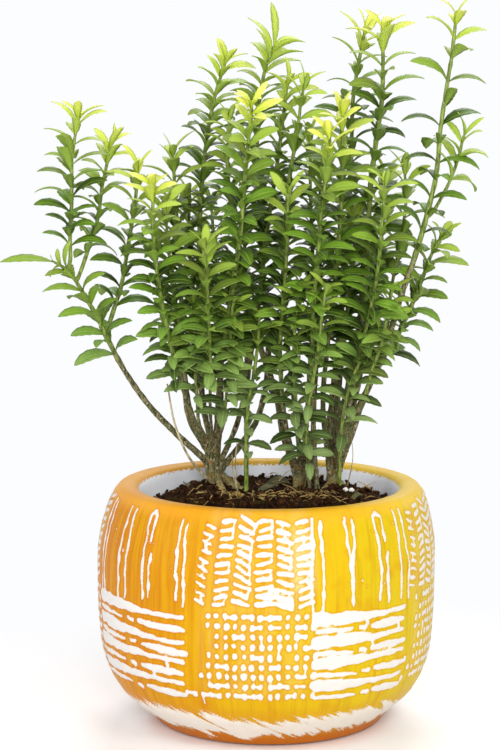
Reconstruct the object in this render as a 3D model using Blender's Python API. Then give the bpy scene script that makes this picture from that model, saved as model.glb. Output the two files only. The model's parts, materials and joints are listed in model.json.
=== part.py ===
"""A potted euonymus bonsai: two clumps of leafy canes growing from soil in a round hand-decorated pot.

Each cane or side shoot is one body with its leaves. Their routes are a short table of points, and the
leaves follow from the way euonymus grows: in opposite pairs, each pair a quarter turn from the last.
Everything stands in millimetres here and is scaled to metres once, when a mesh is made.
The origin is the centre of the pot's underside, with +Z up and the front at -Y.
"""

import math

import bpy
import bmesh
import numpy as np
from mathutils import Vector
from mathutils.bvhtree import BVHTree

MM = 0.001
GAP = 0.35  # clearance between neighbouring solids

# Pot
POT_SIDES = 40
FLOOR_TOP = 12.0
OUTER_WALL = [(61, 0), (69, 5.3), (80, 16), (86, 30), (89, 50), (90, 80), (89, 102), (85, 117), (81.4, 124)]
LIP = [(79.6, 126.1), (76.5, 127), (72.5, 127), (70, 126)]
INNER_WALL = [(68.5, 122), (67, 100), (63, 60), (58, 24), (52, FLOOR_TOP)]
DRAIN_HOLES = 3
DRAIN_DIAMETER = 10.0
DRAIN_CIRCLE = 28.0
DRAIN_TURN = 122.0  # degrees, clear of the roots above and of the facets of the base

# Soil
SOIL_TOP = 122.0
SOIL_SHELF = 44.0  # radius of the level middle
SOIL_EDGE = 113.0

# Crowns: the woody bases of the clumps, (x, y, foot radius, top radius, top height)
CROWNS = {
    "left_crown": (-30, 20, 9.5, 5.6, 142),
    "middle_crown": (17, 16, 6.0, 3.6, 134),
    "right_crown": (35, 14, 7.0, 4.2, 144),
}
CROWN_SIDES = 10

# Leaves
LEAF_LENGTH = 21.0
LEAF_WIDTH = 6.6
PETIOLE = 1.6
FULL_GROWN_TIPS = ("left_arch_cane",)  # shoots whose last leaves are no smaller than the rest
NODE_SPACING = 1.35  # leaf pairs are this much wider apart than on the living plant, to keep the solids light
STEM_TIP = 1.5

# Canes and shoots, base to tip: (base diameter, distance between leaf pairs, height of the lowest leaves,
# turn of the first pair in degrees, points of the route)
SHOOTS = {
    # left clump
    "left_arch_cane": (4.4, 11, 186, 20, [
        (-38, 19, 134), (-48, 15, 149), (-64, 8, 166), (-75, 2, 181), (-84, -4, 196), (-91, -8, 214),
        (-97, -10, 226), (-103, -12, 237), (-110, -14, 245), (-119, -15, 250)]),
    "far_left_shoot": (2.6, 6.5, 250, 0, [
        (-104, -9, 247), (-104, -9, 260), (-103, -8, 278), (-104, -4, 299), (-103, -2, 315), (-102, 0, 326)]),
    "left_inner_shoot": (2.6, 7, 245, 30, [
        (-99, -7, 240), (-94, -2, 255), (-90, 4, 269), (-88, 8, 285), (-85, 12, 299), (-84, 14, 306)]),
    "left_rising_shoot": (3.0, 8, 216, 10, [
        (-85, -1, 210), (-82, 3, 220), (-78, 5, 233), (-74, 6, 256), (-71, 8, 274), (-69, 9, 294)]),
    "left_back_cane": (3.6, 7, 205, 15, [
        (-36, 25, 138), (-43, 30, 156), (-46, 32, 178), (-47, 34, 205), (-48, 36, 240), (-50, 37, 272),
        (-52, 38, 301)]),
    "left_front_cane": (3.6, 5.5, 180, 0, [
        (-33, 18, 143), (-38, 10, 154), (-43, 0, 170), (-48, -9, 188), (-53, -16, 210), (-57, -20, 232),
        (-60, -22, 260), (-60, -22, 286)]),
    "tall_left_cane": (4.0, 6, 215, 40, [
        (-30, 23, 143), (-35, 30, 160), (-38, 38, 193), (-38, 42, 231), (-37, 45, 272), (-34, 47, 305),
        (-29, 48, 331), (-22, 48, 354)]),
    "front_middle_cane": (4.0, 5.5, 192, 5, [
        (-27, 18, 143), (-27, 6, 168), (-25, -4, 193), (-22, -10, 215), (-18, -14, 239), (-15, -17, 262),
        (-13, -19, 286), (-11, -20, 307), (-9, -21, 328)]),
    "middle_back_cane": (3.6, 6.5, 225, 25, [
        (-21, 22, 134), (-18, 25, 152), (-13, 28, 170), (-9, 30, 195), (-5, 32, 223), (-2, 33, 250),
        (2, 33, 278), (6, 33, 305), (10, 32, 338)]),
    "tallest_middle_cane": (4.2, 6.5, 240, 10, [
        (-23, 27, 128), (-14, 34, 143), (-6, 40, 155), (-1, 46, 174), (0, 52, 198), (-3, 57, 237),
        (-5, 59, 276), (-6, 60, 312), (-3, 60, 340), (4, 60, 370)]),
    "left_slender_shoot": (2.2, 7, 190, 0, [
        (-30, 6, 123), (-31, -2, 156), (-31, -10, 181), (-31, -18, 206), (-32, -24, 228), (-33, -29, 256)]),
    "left_low_shoot": (2.8, 6.5, 197, 45, [
        (-37, 15, 134), (-41, 11, 160), (-45, 8, 187), (-48, 6, 213), (-52, 5, 240), (-55, 6, 275)]),
    "left_short_shoot": (2.4, 6, 177, 30, [
        (-34, 11, 130), (-37, 4, 150), (-38, -3, 172), (-39, -7, 195), (-39, -9, 212), (-39, -9, 226)]),
    "back_left_cane": (3.2, 7, 215, 20, [
        (-32, 29, 134), (-34, 36, 155), (-38, 44, 186), (-41, 50, 220), (-43, 54, 252), (-44, 56, 278)]),
    "rear_left_cane": (3.4, 7, 200, 50, [
        (-26, 29, 132), (-26, 40, 158), (-26, 54, 186), (-27, 68, 216), (-30, 80, 246), (-32, 88, 272)]),
    "rear_middle_cane": (3.2, 7, 205, 15, [
        (-12, 34, 123), (-12, 44, 150), (-12, 56, 184), (-12, 66, 218), (-13, 72, 250), (-13, 75, 280)]),
    "small_middle_shoot": (2.2, 7, 180, 10, [
        (-23, 9, 123), (-23, 3, 145), (-23, -4, 168), (-21, -10, 190), (-20, -15, 210), (-19, -18, 225)]),
    "seedling": (2.8, 9, 140, 0, [
        (-12, 8, 123), (-12, 3, 149), (-11, -2, 169), (-8, -6, 186), (-6, -9, 202), (-5, -10, 219)]),
    # middle clump
    "middle_slender_cane": (3.6, 8, 215, 0, [
        (19, 22, 130), (15, 22, 157), (12, 24, 184), (9, 26, 211), (8, 27, 238), (9, 26, 265),
        (11, 25, 287), (15, 24, 311), (17, 22, 327), (19, 22, 338)]),
    "middle_leaning_cane": (4.4, 7, 215, 20, [
        (11, 15, 131), (8, 12, 150), (4, 10, 173), (-3, 8, 194), (-9, 10, 216), (-15, 14, 240),
        (-19, 19, 266), (-22, 23, 292), (-21, 25, 320)]),
    "middle_front_shoot": (3.2, 7, 205, 35, [
        (14, 10, 130), (9, 4, 158), (6, -2, 192), (7, -6, 220), (9, -8, 247), (10, -9, 282)]),
    "middle_low_shoot": (2.6, 7, 174, 0, [
        (18, 10, 128), (15, -2, 160), (13, -10, 194), (14, -14, 216), (16, -16, 234)]),
    "middle_slender_shoot": (2.4, 8, 152, 0, [
        (22, 4, 123), (20, -10, 160), (23, -19, 185), (26, -25, 204), (27, -28, 217), (29, -30, 234)]),
    "rear_centre_cane": (3.4, 7, 215, 10, [
        (22, 19, 132), (21, 30, 158), (23, 38, 188), (25, 44, 220), (24, 48, 252), (23, 50, 282),
        (23, 50, 308)]),
    "rear_centre_tall_cane": (3.4, 7, 210, 30, [
        (24, 34, 123), (25, 46, 152), (27, 56, 186), (29, 64, 222), (29, 69, 256), (29, 71, 290)]),
    # right clump
    "right_back_tall_cane": (4.2, 6.5, 235, 0, [
        (30, 20, 132), (33, 27, 150), (36, 33, 178), (39, 37, 205), (42, 40, 237), (44, 42, 270),
        (45, 43, 302), (46, 44, 332), (52, 44, 367)]),
    "right_main_cane": (5.0, 6.5, 230, 10, [
        (36, 13, 145), (40, 10, 165), (44, 10, 183), (48, 12, 205), (51, 14, 229), (53, 16, 255),
        (54, 17, 282), (57, 17, 308), (60, 16, 332), (60, 15, 367)]),
    "right_yellow_cane": (3.6, 6.5, 230, 0, [
        (29, 10, 132), (29, 6, 168), (31, 2, 198), (34, 0, 225), (36, -2, 251), (38, -4, 278),
        (38, -5, 304), (38, -6, 324)]),
    "right_front_cane": (3.4, 5.5, 210, 5, [
        (26, 5, 123), (24, -2, 150), (23, -10, 190), (23, -15, 221), (25, -19, 248), (27, -22, 274),
        (30, -24, 297), (31, -25, 312)]),
    "right_slender_cane": (4.4, 11, 235, 10, [
        (41, 9, 134), (45, 3, 160), (53, -3, 179), (62, -7, 202), (69, -9, 227), (76, -10, 248),
        (82, -9, 269), (87, -8, 291), (89, -7, 314), (92, -6, 335), (95, -5, 355), (97, -4, 374)]),
    "right_side_shoot": (2.4, 8, 278, 40, [
        (86, -6, 272), (93, -2, 285), (96, 0, 298), (98, 2, 310)]),
    "right_inner_cane": (3.6, 7, 215, 30, [
        (39, 19, 139), (44, 24, 155), (50, 30, 180), (55, 35, 205), (59, 38, 232), (62, 41, 260),
        (63, 43, 288)]),
    "right_thin_shoot": (2.2, 9, 227, 0, [
        (62, -4, 205), (65, 5, 230), (70, 12, 255), (73, 15, 276), (72, 16, 294)]),
    "right_front_shoot": (2.8, 6, 195, 0, [
        (36, 6, 130), (40, 2, 152), (44, -3, 174), (48, -10, 199), (53, -16, 222), (56, -20, 240),
        (58, -22, 265)]),
    "outer_right_cane": (4.0, 6.5, 190, 0, [
        (42, 15, 132), (45, 17, 150), (51, 17, 168), (59, 15, 187), (68, 12, 203), (75, 10, 218),
        (81, 8, 234), (86, 6, 248), (91, 5, 258)]),
    "green_sucker": (2.4, 9, 165, 0, [
        (38, 4, 123), (38, -2, 147), (40, -6, 168), (45, -10, 187), (53, -12, 202), (58, -12, 208)]),
    "right_mid_shoot": (3.0, 7, 210, 45, [
        (35, 20, 137), (37, 22, 160), (40, 24, 190), (43, 25, 222), (46, 25, 250), (45, 24, 270)]),
    "rear_right_cane": (3.4, 7, 195, 10, [
        (40, 21, 130), (44, 32, 152), (49, 44, 180), (54, 54, 208), (57, 61, 234), (58, 66, 258)]),
    "right_low_shoot": (2.2, 6.5, 186, 30, [
        (51, -5, 175), (54, -10, 188), (58, -13, 200), (61, -15, 214), (64, -15, 231)]),
    "rear_right_leaning_cane": (3.6, 7, 195, 35, [
        (33, 23, 128), (36, 36, 152), (40, 52, 180), (44, 66, 208), (48, 78, 236), (50, 86, 262)]),
}

# Roots that show on the soil: (thickness, points in plan)
ROOTS = {
    "left_surface_root": (2.6, [(-25, 8), (-26, 0), (-21, -10), (-20, -22)]),
    "front_surface_root": (2.2, [(-19, -16), (-8, -19), (4, -17), (10, -15)]),
    "middle_surface_root": (1.8, [(10, 6), (12, -3), (17, -11), (15, -18)]),
}
PERLITE = {"perlite_grain_left": (41, -1.6), "perlite_grain_right": (44.2, -2.8)}
PERLITE_DIAMETER = 2.6
PERLITE_LIFT = 0.5  # keeps the faceted grains clear of the sloping soil
TWIG = (1.2, [(-17, 10, 123), (-18, 12, 134), (-17, 13, 146)])


# ---------------------------------------------------------------- shared helpers


def material(name, colour, roughness):
    mat = bpy.data.materials.get(name) or bpy.data.materials.new(name)
    mat.use_nodes = True
    shader = mat.node_tree.nodes["Principled BSDF"]
    shader.inputs["Base Color"].default_value = (*colour, 1)
    shader.inputs["Roughness"].default_value = roughness
    shader.inputs["Metallic"].default_value = 0
    mat.diffuse_color = (*colour, 1)
    return mat


def add_solid(name, points, faces, mat):
    """One object from points in millimetres, with its faces turned outwards."""
    mesh = bpy.data.meshes.new(name)
    mesh.from_pydata([Vector(p) * MM for p in points], [], faces)
    bm = bmesh.new()
    bm.from_mesh(mesh)
    bmesh.ops.triangulate(bm, faces=bm.faces)
    bmesh.ops.recalc_face_normals(bm, faces=bm.faces)
    bm.to_mesh(mesh)
    bm.free()
    mesh.materials.append(mat)
    obj = bpy.data.objects.new(name, mesh)
    bpy.context.scene.collection.objects.link(obj)
    return obj


def smooth_curve(points, step):
    """Points about `step` apart on the Catmull-Rom curve through the given ones."""
    p = np.array(points, dtype=float)
    p = np.vstack([2 * p[0] - p[1], p, 2 * p[-1] - p[-2]])
    curve = []
    for a, b, c, d in zip(p, p[1:], p[2:], p[3:]):
        count = max(2, round(np.linalg.norm(c - b) / step))
        for t in np.arange(count) / count:
            curve.append(0.5 * (2 * b + (c - a) * t + (2 * a - 5 * b + 4 * c - d) * t**2
                                + (3 * b - a - 3 * c + d) * t**3))
    curve.append(p[-2])
    return np.array(curve)


def lathe(outline, sides):
    """Points and faces of the closed shape that a closed (radius, height) outline sweeps round Z."""
    points = []
    for r, z in outline:
        for k in range(sides):
            turn = 2 * math.pi * k / sides
            points.append((r * math.cos(turn), r * math.sin(turn), z))
    faces = []
    for i in range(len(outline) - 1):
        for k in range(sides):
            m = (k + 1) % sides
            faces.append((i * sides + k, i * sides + m, (i + 1) * sides + m, (i + 1) * sides + k))
    return points, faces


def cap(points, faces, ring, sides, height):
    """Closes the ring that starts at index `ring` with a fan about a point on the axis."""
    points.append((0, 0, height))
    faces += [(ring + k, ring + (k + 1) % sides, len(points) - 1) for k in range(sides)]


def tube(points, radii, sides):
    """A closed tube with a ring at each point."""
    rings = frames(points)
    verts = []
    for p, radius, (side, front, _) in zip(points, radii, rings):
        for k in range(sides):
            turn = 2 * math.pi * (k + 0.5) / sides
            verts.append(p + radius * (math.cos(turn) * side + math.sin(turn) * front))
    faces = [tuple(range(sides)), tuple(range(len(verts) - sides, len(verts)))]
    for i in range(len(points) - 1):
        for k in range(sides):
            m = (k + 1) % sides
            faces.append((i * sides + k, i * sides + m, (i + 1) * sides + m, (i + 1) * sides + k))
    return verts, faces


def frames(points):
    """(side, front, along) unit vectors at each point, carried along without twisting."""
    along = np.gradient(points, axis=0)
    along /= np.linalg.norm(along, axis=1)[:, None]
    side = np.array([1.0, 0, 0])
    result = []
    for t in along:
        side = side - t * side.dot(t)
        side /= np.linalg.norm(side)
        result.append((side, np.cross(t, side), t))
    return result


# ---------------------------------------------------------------- pot and soil


def make_pot():
    clay = material("glazed_clay", (0.88, 0.42, 0.03), 0.45)
    outline = OUTER_WALL + LIP + INNER_WALL
    points, faces = lathe(outline, POT_SIDES)
    cap(points, faces, 0, POT_SIDES, 0)
    cap(points, faces, (len(outline) - 1) * POT_SIDES, POT_SIDES, FLOOR_TOP)
    pot = add_solid("pot", points, faces, clay)
    for k in range(DRAIN_HOLES):
        turn = math.radians(DRAIN_TURN + 360 * k / DRAIN_HOLES)
        bpy.ops.mesh.primitive_cylinder_add(
            vertices=16, radius=DRAIN_DIAMETER / 2 * MM, depth=3 * FLOOR_TOP * MM,
            location=(DRAIN_CIRCLE * math.cos(turn) * MM, DRAIN_CIRCLE * math.sin(turn) * MM, 0))
        cutter = bpy.context.object
        cutter.name = f"drain_cutter_{k + 1}"
        cutter.hide_render = True
        cutter.display_type = "WIRE"
        hole = pot.modifiers.new(f"drain_{k + 1}", "BOOLEAN")
        hole.object = cutter
        hole.operation = "DIFFERENCE"


def inner_radius(z):
    walls = sorted((h, r) for r, h in INNER_WALL)
    return np.interp(z, [h for h, _ in walls], [r for _, r in walls])


def make_soil():
    earth = material("soil", (0.035, 0.02, 0.012), 0.95)
    edge = inner_radius(SOIL_EDGE) - GAP
    rings = [(22, SOIL_TOP), (SOIL_SHELF, SOIL_TOP), (56, (SOIL_TOP + SOIL_EDGE) / 2 + 1), (edge, SOIL_EDGE)]
    rings += [(inner_radius(z) - GAP, z) for z in (100, 60, 24)]
    rings += [(52 - GAP, FLOOR_TOP + GAP)]
    points, faces = lathe(rings, POT_SIDES)
    cap(points, faces, 0, POT_SIDES, SOIL_TOP)
    cap(points, faces, (len(rings) - 1) * POT_SIDES, POT_SIDES, FLOOR_TOP + GAP)
    add_solid("soil", points, faces, earth)


def crown_radius(crown, z):
    """Flares towards the soil."""
    _, _, foot, top, height = crown
    share = np.clip((height - z) / (height - SOIL_TOP), 0, 1)
    return top + (foot - top) * share**1.6


def make_crowns():
    bark = material("bark", (0.19, 0.15, 0.10), 0.9)
    for name, crown in CROWNS.items():
        x, y, _, _, height = crown
        heights = np.linspace(SOIL_TOP + GAP, height, 5)
        points = np.array([(x, y, z) for z in heights])
        verts, faces = tube(points, [crown_radius(crown, z) for z in heights], CROWN_SIDES)
        add_solid(name, verts, faces, bark)


def make_surface_pieces():
    root = material("root", (0.42, 0.27, 0.13), 0.85)
    for name, (thickness, plan) in ROOTS.items():
        lift = SOIL_TOP + thickness / 2 + GAP
        points = smooth_curve([(x, y, lift) for x, y in plan], 5)
        radii = np.linspace(thickness / 2, thickness / 3, len(points))
        verts, faces = tube(points, radii, 6)
        add_solid(name, verts, faces, root)
    grain = material("perlite", (0.85, 0.84, 0.80), 0.9)
    for name, (x, y) in PERLITE.items():
        mesh = bpy.data.meshes.new(name)
        bm = bmesh.new()
        bmesh.ops.create_icosphere(bm, subdivisions=1, radius=PERLITE_DIAMETER / 2 * MM)
        z = soil_height(math.hypot(x, y)) + PERLITE_DIAMETER / 2 + PERLITE_LIFT
        bmesh.ops.translate(bm, verts=bm.verts, vec=Vector((x, y, z)) * MM)
        bm.to_mesh(mesh)
        bm.free()
        mesh.materials.append(grain)
        bpy.context.scene.collection.objects.link(bpy.data.objects.new(name, mesh))
    dry = material("dead_twig", (0.45, 0.38, 0.27), 0.9)
    thickness, points = TWIG
    route = smooth_curve(points, 6)
    verts, faces = tube(route, [thickness / 2] * len(route), 5)
    add_solid("dead_twig", verts, faces, dry)


def soil_height(radius):
    middle = (SOIL_TOP + SOIL_EDGE) / 2 + 1
    return np.interp(radius, [SOIL_SHELF, 56, inner_radius(SOIL_EDGE)], [SOIL_TOP, middle, SOIL_EDGE])


# ---------------------------------------------------------------- canes and leaves


def settle(routes, radii):
    """Eases crowded canes apart, so that no two stems, and no stem and crown, touch.

    Only what is added to a route is smoothed, so each cane keeps its own curve.
    """
    names = list(routes)
    start = np.vstack([routes[n] for n in names])
    radius = np.concatenate([radii[n] for n in names])
    owner = np.concatenate([np.full(len(routes[n]), i) for i, n in enumerate(names)])
    posts = []
    for crown in CROWNS.values():
        for z in np.arange(SOIL_TOP, crown[4] + 1, 3):
            posts.append((crown[0], crown[1], z, crown_radius(crown, z)))
    posts = np.array(posts)
    move = np.zeros_like(start)
    for _ in range(80):
        now = start + move
        push = np.zeros_like(now)
        for i, p in enumerate(now):
            away = p - now
            apart = np.linalg.norm(away, axis=1)
            need = radius + radius[i] + 0.9
            close = (owner != owner[i]) & (apart < need)
            for k in np.flatnonzero(close):
                push[i] += away[k] / max(apart[k], 0.1) * (need[k] - apart[k]) * 0.5
            away = p - posts[:, :3]
            apart = np.linalg.norm(away, axis=1)
            need = posts[:, 3] + radius[i] + 0.45
            for k in np.flatnonzero(apart < need):
                push[i] += away[k] / apart[k] * (need[k] - apart[k]) * 0.6
        push[:, 2] *= 0.3
        move += push
        for i in range(len(names)):
            own = np.flatnonzero(owner == i)
            move[own[1:-1]] = 0.5 * move[own[1:-1]] + 0.25 * (move[own[:-2]] + move[own[2:]])
    now = start + move
    now[:, 2] = np.maximum(now[:, 2], SOIL_TOP + GAP)
    return {n: now[owner == i] for i, n in enumerate(names)}


class Shoot:
    """A settled cane: where its rings and leaf pairs stand, and which leaves fitted."""

    def __init__(self, name, route):
        diameter, spacing, leafy_height, turn, _ = SHOOTS[name]
        self.name = name
        lengths = np.concatenate([[0], np.cumsum(np.linalg.norm(np.diff(route, axis=0), axis=1))])
        self.length = lengths[-1]
        self.route, self.lengths = route, lengths
        self.base_radius = diameter / 2
        self.turn = math.radians(turn)
        first = np.interp(leafy_height, route[:, 2], lengths)
        last = self.length - 3
        count = max(3, round((last - first) / (spacing * NODE_SPACING)))
        self.nodes = np.linspace(first, last, count)
        bare = np.arange(0, first - 4, 11)
        self.stations = [(s, False) for s in bare]
        for s in self.nodes:
            self.stations += [(s - PETIOLE / 2, True), (s + PETIOLE / 2, False)]
        self.stations.append((self.length, False))
        self.rings = [self.ring(s) for s, _ in self.stations]
        self.leaves = {}

    def seat(self, crowns):
        """Slides the lowest ring against the crown that it grows from, leaving the usual clearance."""
        heel = Vector(sum(self.rings[0]) / 4)
        crown = min(crowns, key=lambda tree: tree.find_nearest(heel)[3])
        if crown.find_nearest(heel)[3] > 2 * self.base_radius + 2:
            return
        found = [(crown.find_nearest(Vector(corner)), Vector(corner)) for corner in self.rings[0]]
        (touch, _, _, apart), corner = min(found, key=lambda pair: pair[0][3])
        slide = np.array((touch - corner).normalized() * (apart - GAP))
        self.rings[0] = [corner + slide for corner in self.rings[0]]

    def point(self, s):
        return np.array([np.interp(s, self.lengths, self.route[:, a]) for a in range(3)])

    def radius(self, s):
        share = s / self.length
        return self.base_radius * (1 - share) ** 0.6 + STEM_TIP / 2 * (1 - (1 - share) ** 0.6)

    def frame(self, s):
        along = self.point(min(s + 1, self.length)) - self.point(max(s - 1, 0))
        along /= np.linalg.norm(along)
        side = np.array([math.cos(self.turn), math.sin(self.turn), 0])
        side -= along * side.dot(along)
        side /= np.linalg.norm(side)
        return side, np.cross(along, side), along

    def ring(self, s):
        side, front, _ = self.frame(s)
        corners = []
        for k in range(4):
            turn = math.radians(45 + 90 * k)
            corners.append(self.point(s) + self.radius(s) * (math.cos(turn) * side + math.sin(turn) * front))
        return corners

    def leaf(self, node, face, scale, lift, swing):
        """The three free corners of a leaf on one face of a node: left, right and tip."""
        s = self.nodes[node]
        side, front, along = self.frame(s)
        outward = [front, -side, -front, side][face]
        across = np.cross(along, outward)
        outward = outward * math.cos(swing) + across * math.sin(swing)
        across = np.cross(along, outward)
        from_tip = self.length - s
        size = LEAF_LENGTH * scale
        if self.name not in FULL_GROWN_TIPS:
            size *= np.interp(from_tip, [0, 10, 35], [0.5, 0.75, 1.0])
        rise = math.radians(np.interp(from_tip, [0, 15, 60, 150], [66, 40, 24, 10])) + lift
        reach = math.cos(rise) * outward + math.sin(rise) * along
        up = -math.sin(rise) * outward + math.cos(rise) * along
        root = self.point(s) + self.radius(s) * outward
        middle = root + 0.45 * size * reach + 0.13 * size * up
        half = 0.5 * LEAF_WIDTH * (size / LEAF_LENGTH) ** 0.5
        return middle - half * across, middle + half * across, root + size * reach, along


def leaf_triangles(corners, left, right, tip):
    """A folded blade that grows from four stem corners (two low, two high) to its tip."""
    low_a, low_b, high_b, high_a = corners
    return [(high_a, high_b, tip), (high_a, tip, left), (high_b, right, tip), (low_a, tip, low_b),
            (low_a, left, tip), (low_b, tip, right), (low_a, high_a, left), (low_b, right, high_b)]


def triangle_tree(triangles):
    points = [Vector(p) for t in triangles for p in t]
    return BVHTree.FromPolygons(points, [(3 * i, 3 * i + 1, 3 * i + 2) for i in range(len(triangles))])


def object_triangles(obj):
    mesh = obj.data
    mesh.calc_loop_triangles()
    points = [np.array(v.co) / MM for v in mesh.vertices]
    return [tuple(points[i] for i in t.vertices) for t in mesh.loop_triangles]


class Surroundings:
    """What is in place already, asked whether something new would touch it."""

    def __init__(self):
        self.trees, self.low, self.high, self.owners = [], [], [], []

    def add(self, triangles, owner):
        points = np.array(triangles).reshape(-1, 3)
        self.trees.append(triangle_tree(triangles))
        self.low.append(points.min(axis=0))
        self.high.append(points.max(axis=0))
        self.owners.append(owner)

    def touched(self, triangles, owner):
        points = np.array(triangles).reshape(-1, 3)
        low, high = points.min(axis=0), points.max(axis=0)
        near = np.all((np.array(self.low) <= high) & (np.array(self.high) >= low), axis=1)
        tree = triangle_tree(triangles)
        return any(self.owners[i] != owner and tree.overlap(self.trees[i]) for i in np.flatnonzero(near))


# Ways to place a leaf, the natural one first: (size, lift in degrees, swing in degrees)
LEAF_TRIES = [(1, 0, 0), (1, 9, 0), (1, -9, 0), (1, 0, 14), (1, 0, -14), (0.85, 8, 22), (0.85, -8, -22),
              (0.8, 18, 0), (0.75, -16, 0), (0.7, 10, 32), (0.7, 10, -32), (0.6, 24, 12), (0.5, 0, 0),
              (0.5, 28, -16)]


def grow_leaves(shoots, around):
    """Gives every node its two leaves, from the tips down, wherever a leaf has room."""
    places = []
    for shoot in shoots:
        for node, s in enumerate(shoot.nodes):
            for half in (0, 2):
                places.append((round(shoot.length - s, 3), shoot.name, node, node % 2 + half, shoot))
    for _, name, node, face, shoot in sorted(places, key=lambda place: place[:4]):
        bottom = next(i for i, (s, leafy) in enumerate(shoot.stations)
                      if leafy and abs(s + PETIOLE / 2 - shoot.nodes[node]) < 1e-6)
        low, high = shoot.rings[bottom], shoot.rings[bottom + 1]
        a, b = face, (face + 1) % 4
        corners = (low[a], low[b], high[b], high[a])
        for scale, lift, swing in LEAF_TRIES:
            left, right, tip, along = shoot.leaf(node, face, scale, math.radians(lift), math.radians(swing))
            blade = leaf_triangles(corners, left, right, tip)
            if not around.touched(padded(corners, left, right, tip, along), (name, "stem")):
                around.add(blade, (name, node, face))
                shoot.leaves[bottom, face] = (left, right, tip)
                break


def padded(corners, left, right, tip, along):
    """The blade and two thicker copies above and below it, which keep neighbours at a distance."""
    wide = (right - left) / np.linalg.norm(right - left) * 0.5
    longer = (tip - (left + right) / 2) / np.linalg.norm(tip - (left + right) / 2) * 0.6
    triangles = []
    for shift in (-0.45, 0, 0.45):
        lifted = [c + shift * along for c in corners]
        blade = (left - wide + shift * along, right + wide + shift * along, tip + longer + shift * along)
        triangles += leaf_triangles(lifted, *blade)
    return triangles


def make_shoot(shoot, stem_mat):
    points = [p for ring in shoot.rings for p in ring]
    faces = [(3, 2, 1, 0)]
    for i in range(len(shoot.rings) - 1):
        for k in range(4):
            m = (k + 1) % 4
            low_a, low_b, high_b, high_a = 4 * i + k, 4 * i + m, 4 * i + 4 + m, 4 * i + 4 + k
            if (i, k) not in shoot.leaves:
                faces.append((low_a, low_b, high_b, high_a))
                continue
            left, right, tip = (len(points) + n for n in range(3))
            points += shoot.leaves[i, k]
            faces += leaf_triangles((low_a, low_b, high_b, high_a), left, right, tip)
    top = 4 * (len(shoot.rings) - 1)
    points.append(shoot.point(shoot.length) + 1.5 * shoot.frame(shoot.length)[2])
    faces += [(top + k, top + (k + 1) % 4, len(points) - 1) for k in range(4)]
    add_solid(shoot.name, points, faces, stem_mat)


def make_shoots():
    leaf_green = material("leaf", (0.13, 0.26, 0.03), 0.45)
    routes = {name: smooth_curve(points, 5) for name, (*_, points) in SHOOTS.items()}
    radii = {name: np.linspace(SHOOTS[name][0] / 2, STEM_TIP / 2, len(r)) for name, r in routes.items()}
    routes = settle(routes, radii)
    shoots = [Shoot(name, route) for name, route in routes.items()]
    crowns = [triangle_tree(object_triangles(bpy.data.objects[name])) for name in CROWNS]
    for shoot in shoots:
        shoot.seat(crowns)
    around = Surroundings()
    for obj in list(bpy.context.scene.objects):
        if not obj.hide_render:
            around.add(object_triangles(obj), (obj.name, "stem"))
    for shoot in shoots:
        stem = []
        for low, high in zip(shoot.rings, shoot.rings[1:]):
            for k in range(4):
                m = (k + 1) % 4
                stem += [(low[k], low[m], high[m]), (low[k], high[m], high[k])]
        around.add(stem, (shoot.name, "stem"))
    grow_leaves(shoots, around)
    for shoot in shoots:
        make_shoot(shoot, leaf_green)


def main():
    for obj in list(bpy.data.objects):
        bpy.data.objects.remove(obj, do_unlink=True)
    make_pot()
    make_soil()
    make_crowns()
    make_surface_pieces()
    make_shoots()


main()
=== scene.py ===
# %% [markdown]
# # A potted euonymus bonsai
# This notebook dresses a small potted plant: clumps of leafy canes in a round pot with a hand-drawn
# pattern of white slip. A plain solid model of it exists already, and the first step loads that model as a
# fixed frame. Every piece made here then goes where the frame says, in metres, with the front at -Y and the
# origin under the middle of the pot.

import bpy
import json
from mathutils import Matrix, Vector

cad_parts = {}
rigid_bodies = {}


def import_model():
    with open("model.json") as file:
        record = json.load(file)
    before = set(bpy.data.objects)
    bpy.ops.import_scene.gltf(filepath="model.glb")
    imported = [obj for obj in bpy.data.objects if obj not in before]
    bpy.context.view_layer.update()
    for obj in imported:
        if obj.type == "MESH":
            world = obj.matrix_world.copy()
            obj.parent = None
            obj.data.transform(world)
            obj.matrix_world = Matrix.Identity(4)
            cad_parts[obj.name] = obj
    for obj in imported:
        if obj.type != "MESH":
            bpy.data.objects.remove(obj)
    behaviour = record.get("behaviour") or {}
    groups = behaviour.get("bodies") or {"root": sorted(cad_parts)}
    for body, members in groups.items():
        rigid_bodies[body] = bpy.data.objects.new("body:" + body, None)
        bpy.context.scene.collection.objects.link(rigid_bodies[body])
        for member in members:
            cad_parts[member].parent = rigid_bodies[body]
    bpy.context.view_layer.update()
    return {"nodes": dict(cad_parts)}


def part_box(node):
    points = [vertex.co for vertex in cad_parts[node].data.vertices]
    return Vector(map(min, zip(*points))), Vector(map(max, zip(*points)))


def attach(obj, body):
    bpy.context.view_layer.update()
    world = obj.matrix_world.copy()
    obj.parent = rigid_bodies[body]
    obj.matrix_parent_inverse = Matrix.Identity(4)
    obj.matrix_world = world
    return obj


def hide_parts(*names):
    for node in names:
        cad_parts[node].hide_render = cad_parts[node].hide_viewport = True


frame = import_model()
print("solids loaded:", len(frame["nodes"]))

# %% [markdown]
# ## Tools for node trees
# Materials and Geometry Nodes are both trees of linked nodes. Linking them by hand takes many lines, so one
# small class wraps a socket. Arithmetic on it adds Math nodes, so a formula reads as a formula, and its
# `node` method adds any other kind of node: the settings go in first, then the sockets.

# %% A socket that can be used in formulas
import json
import math
from collections import namedtuple

import bmesh
import bpy
import numpy as np
from mathutils import Matrix, Vector

MM = 0.001


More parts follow.
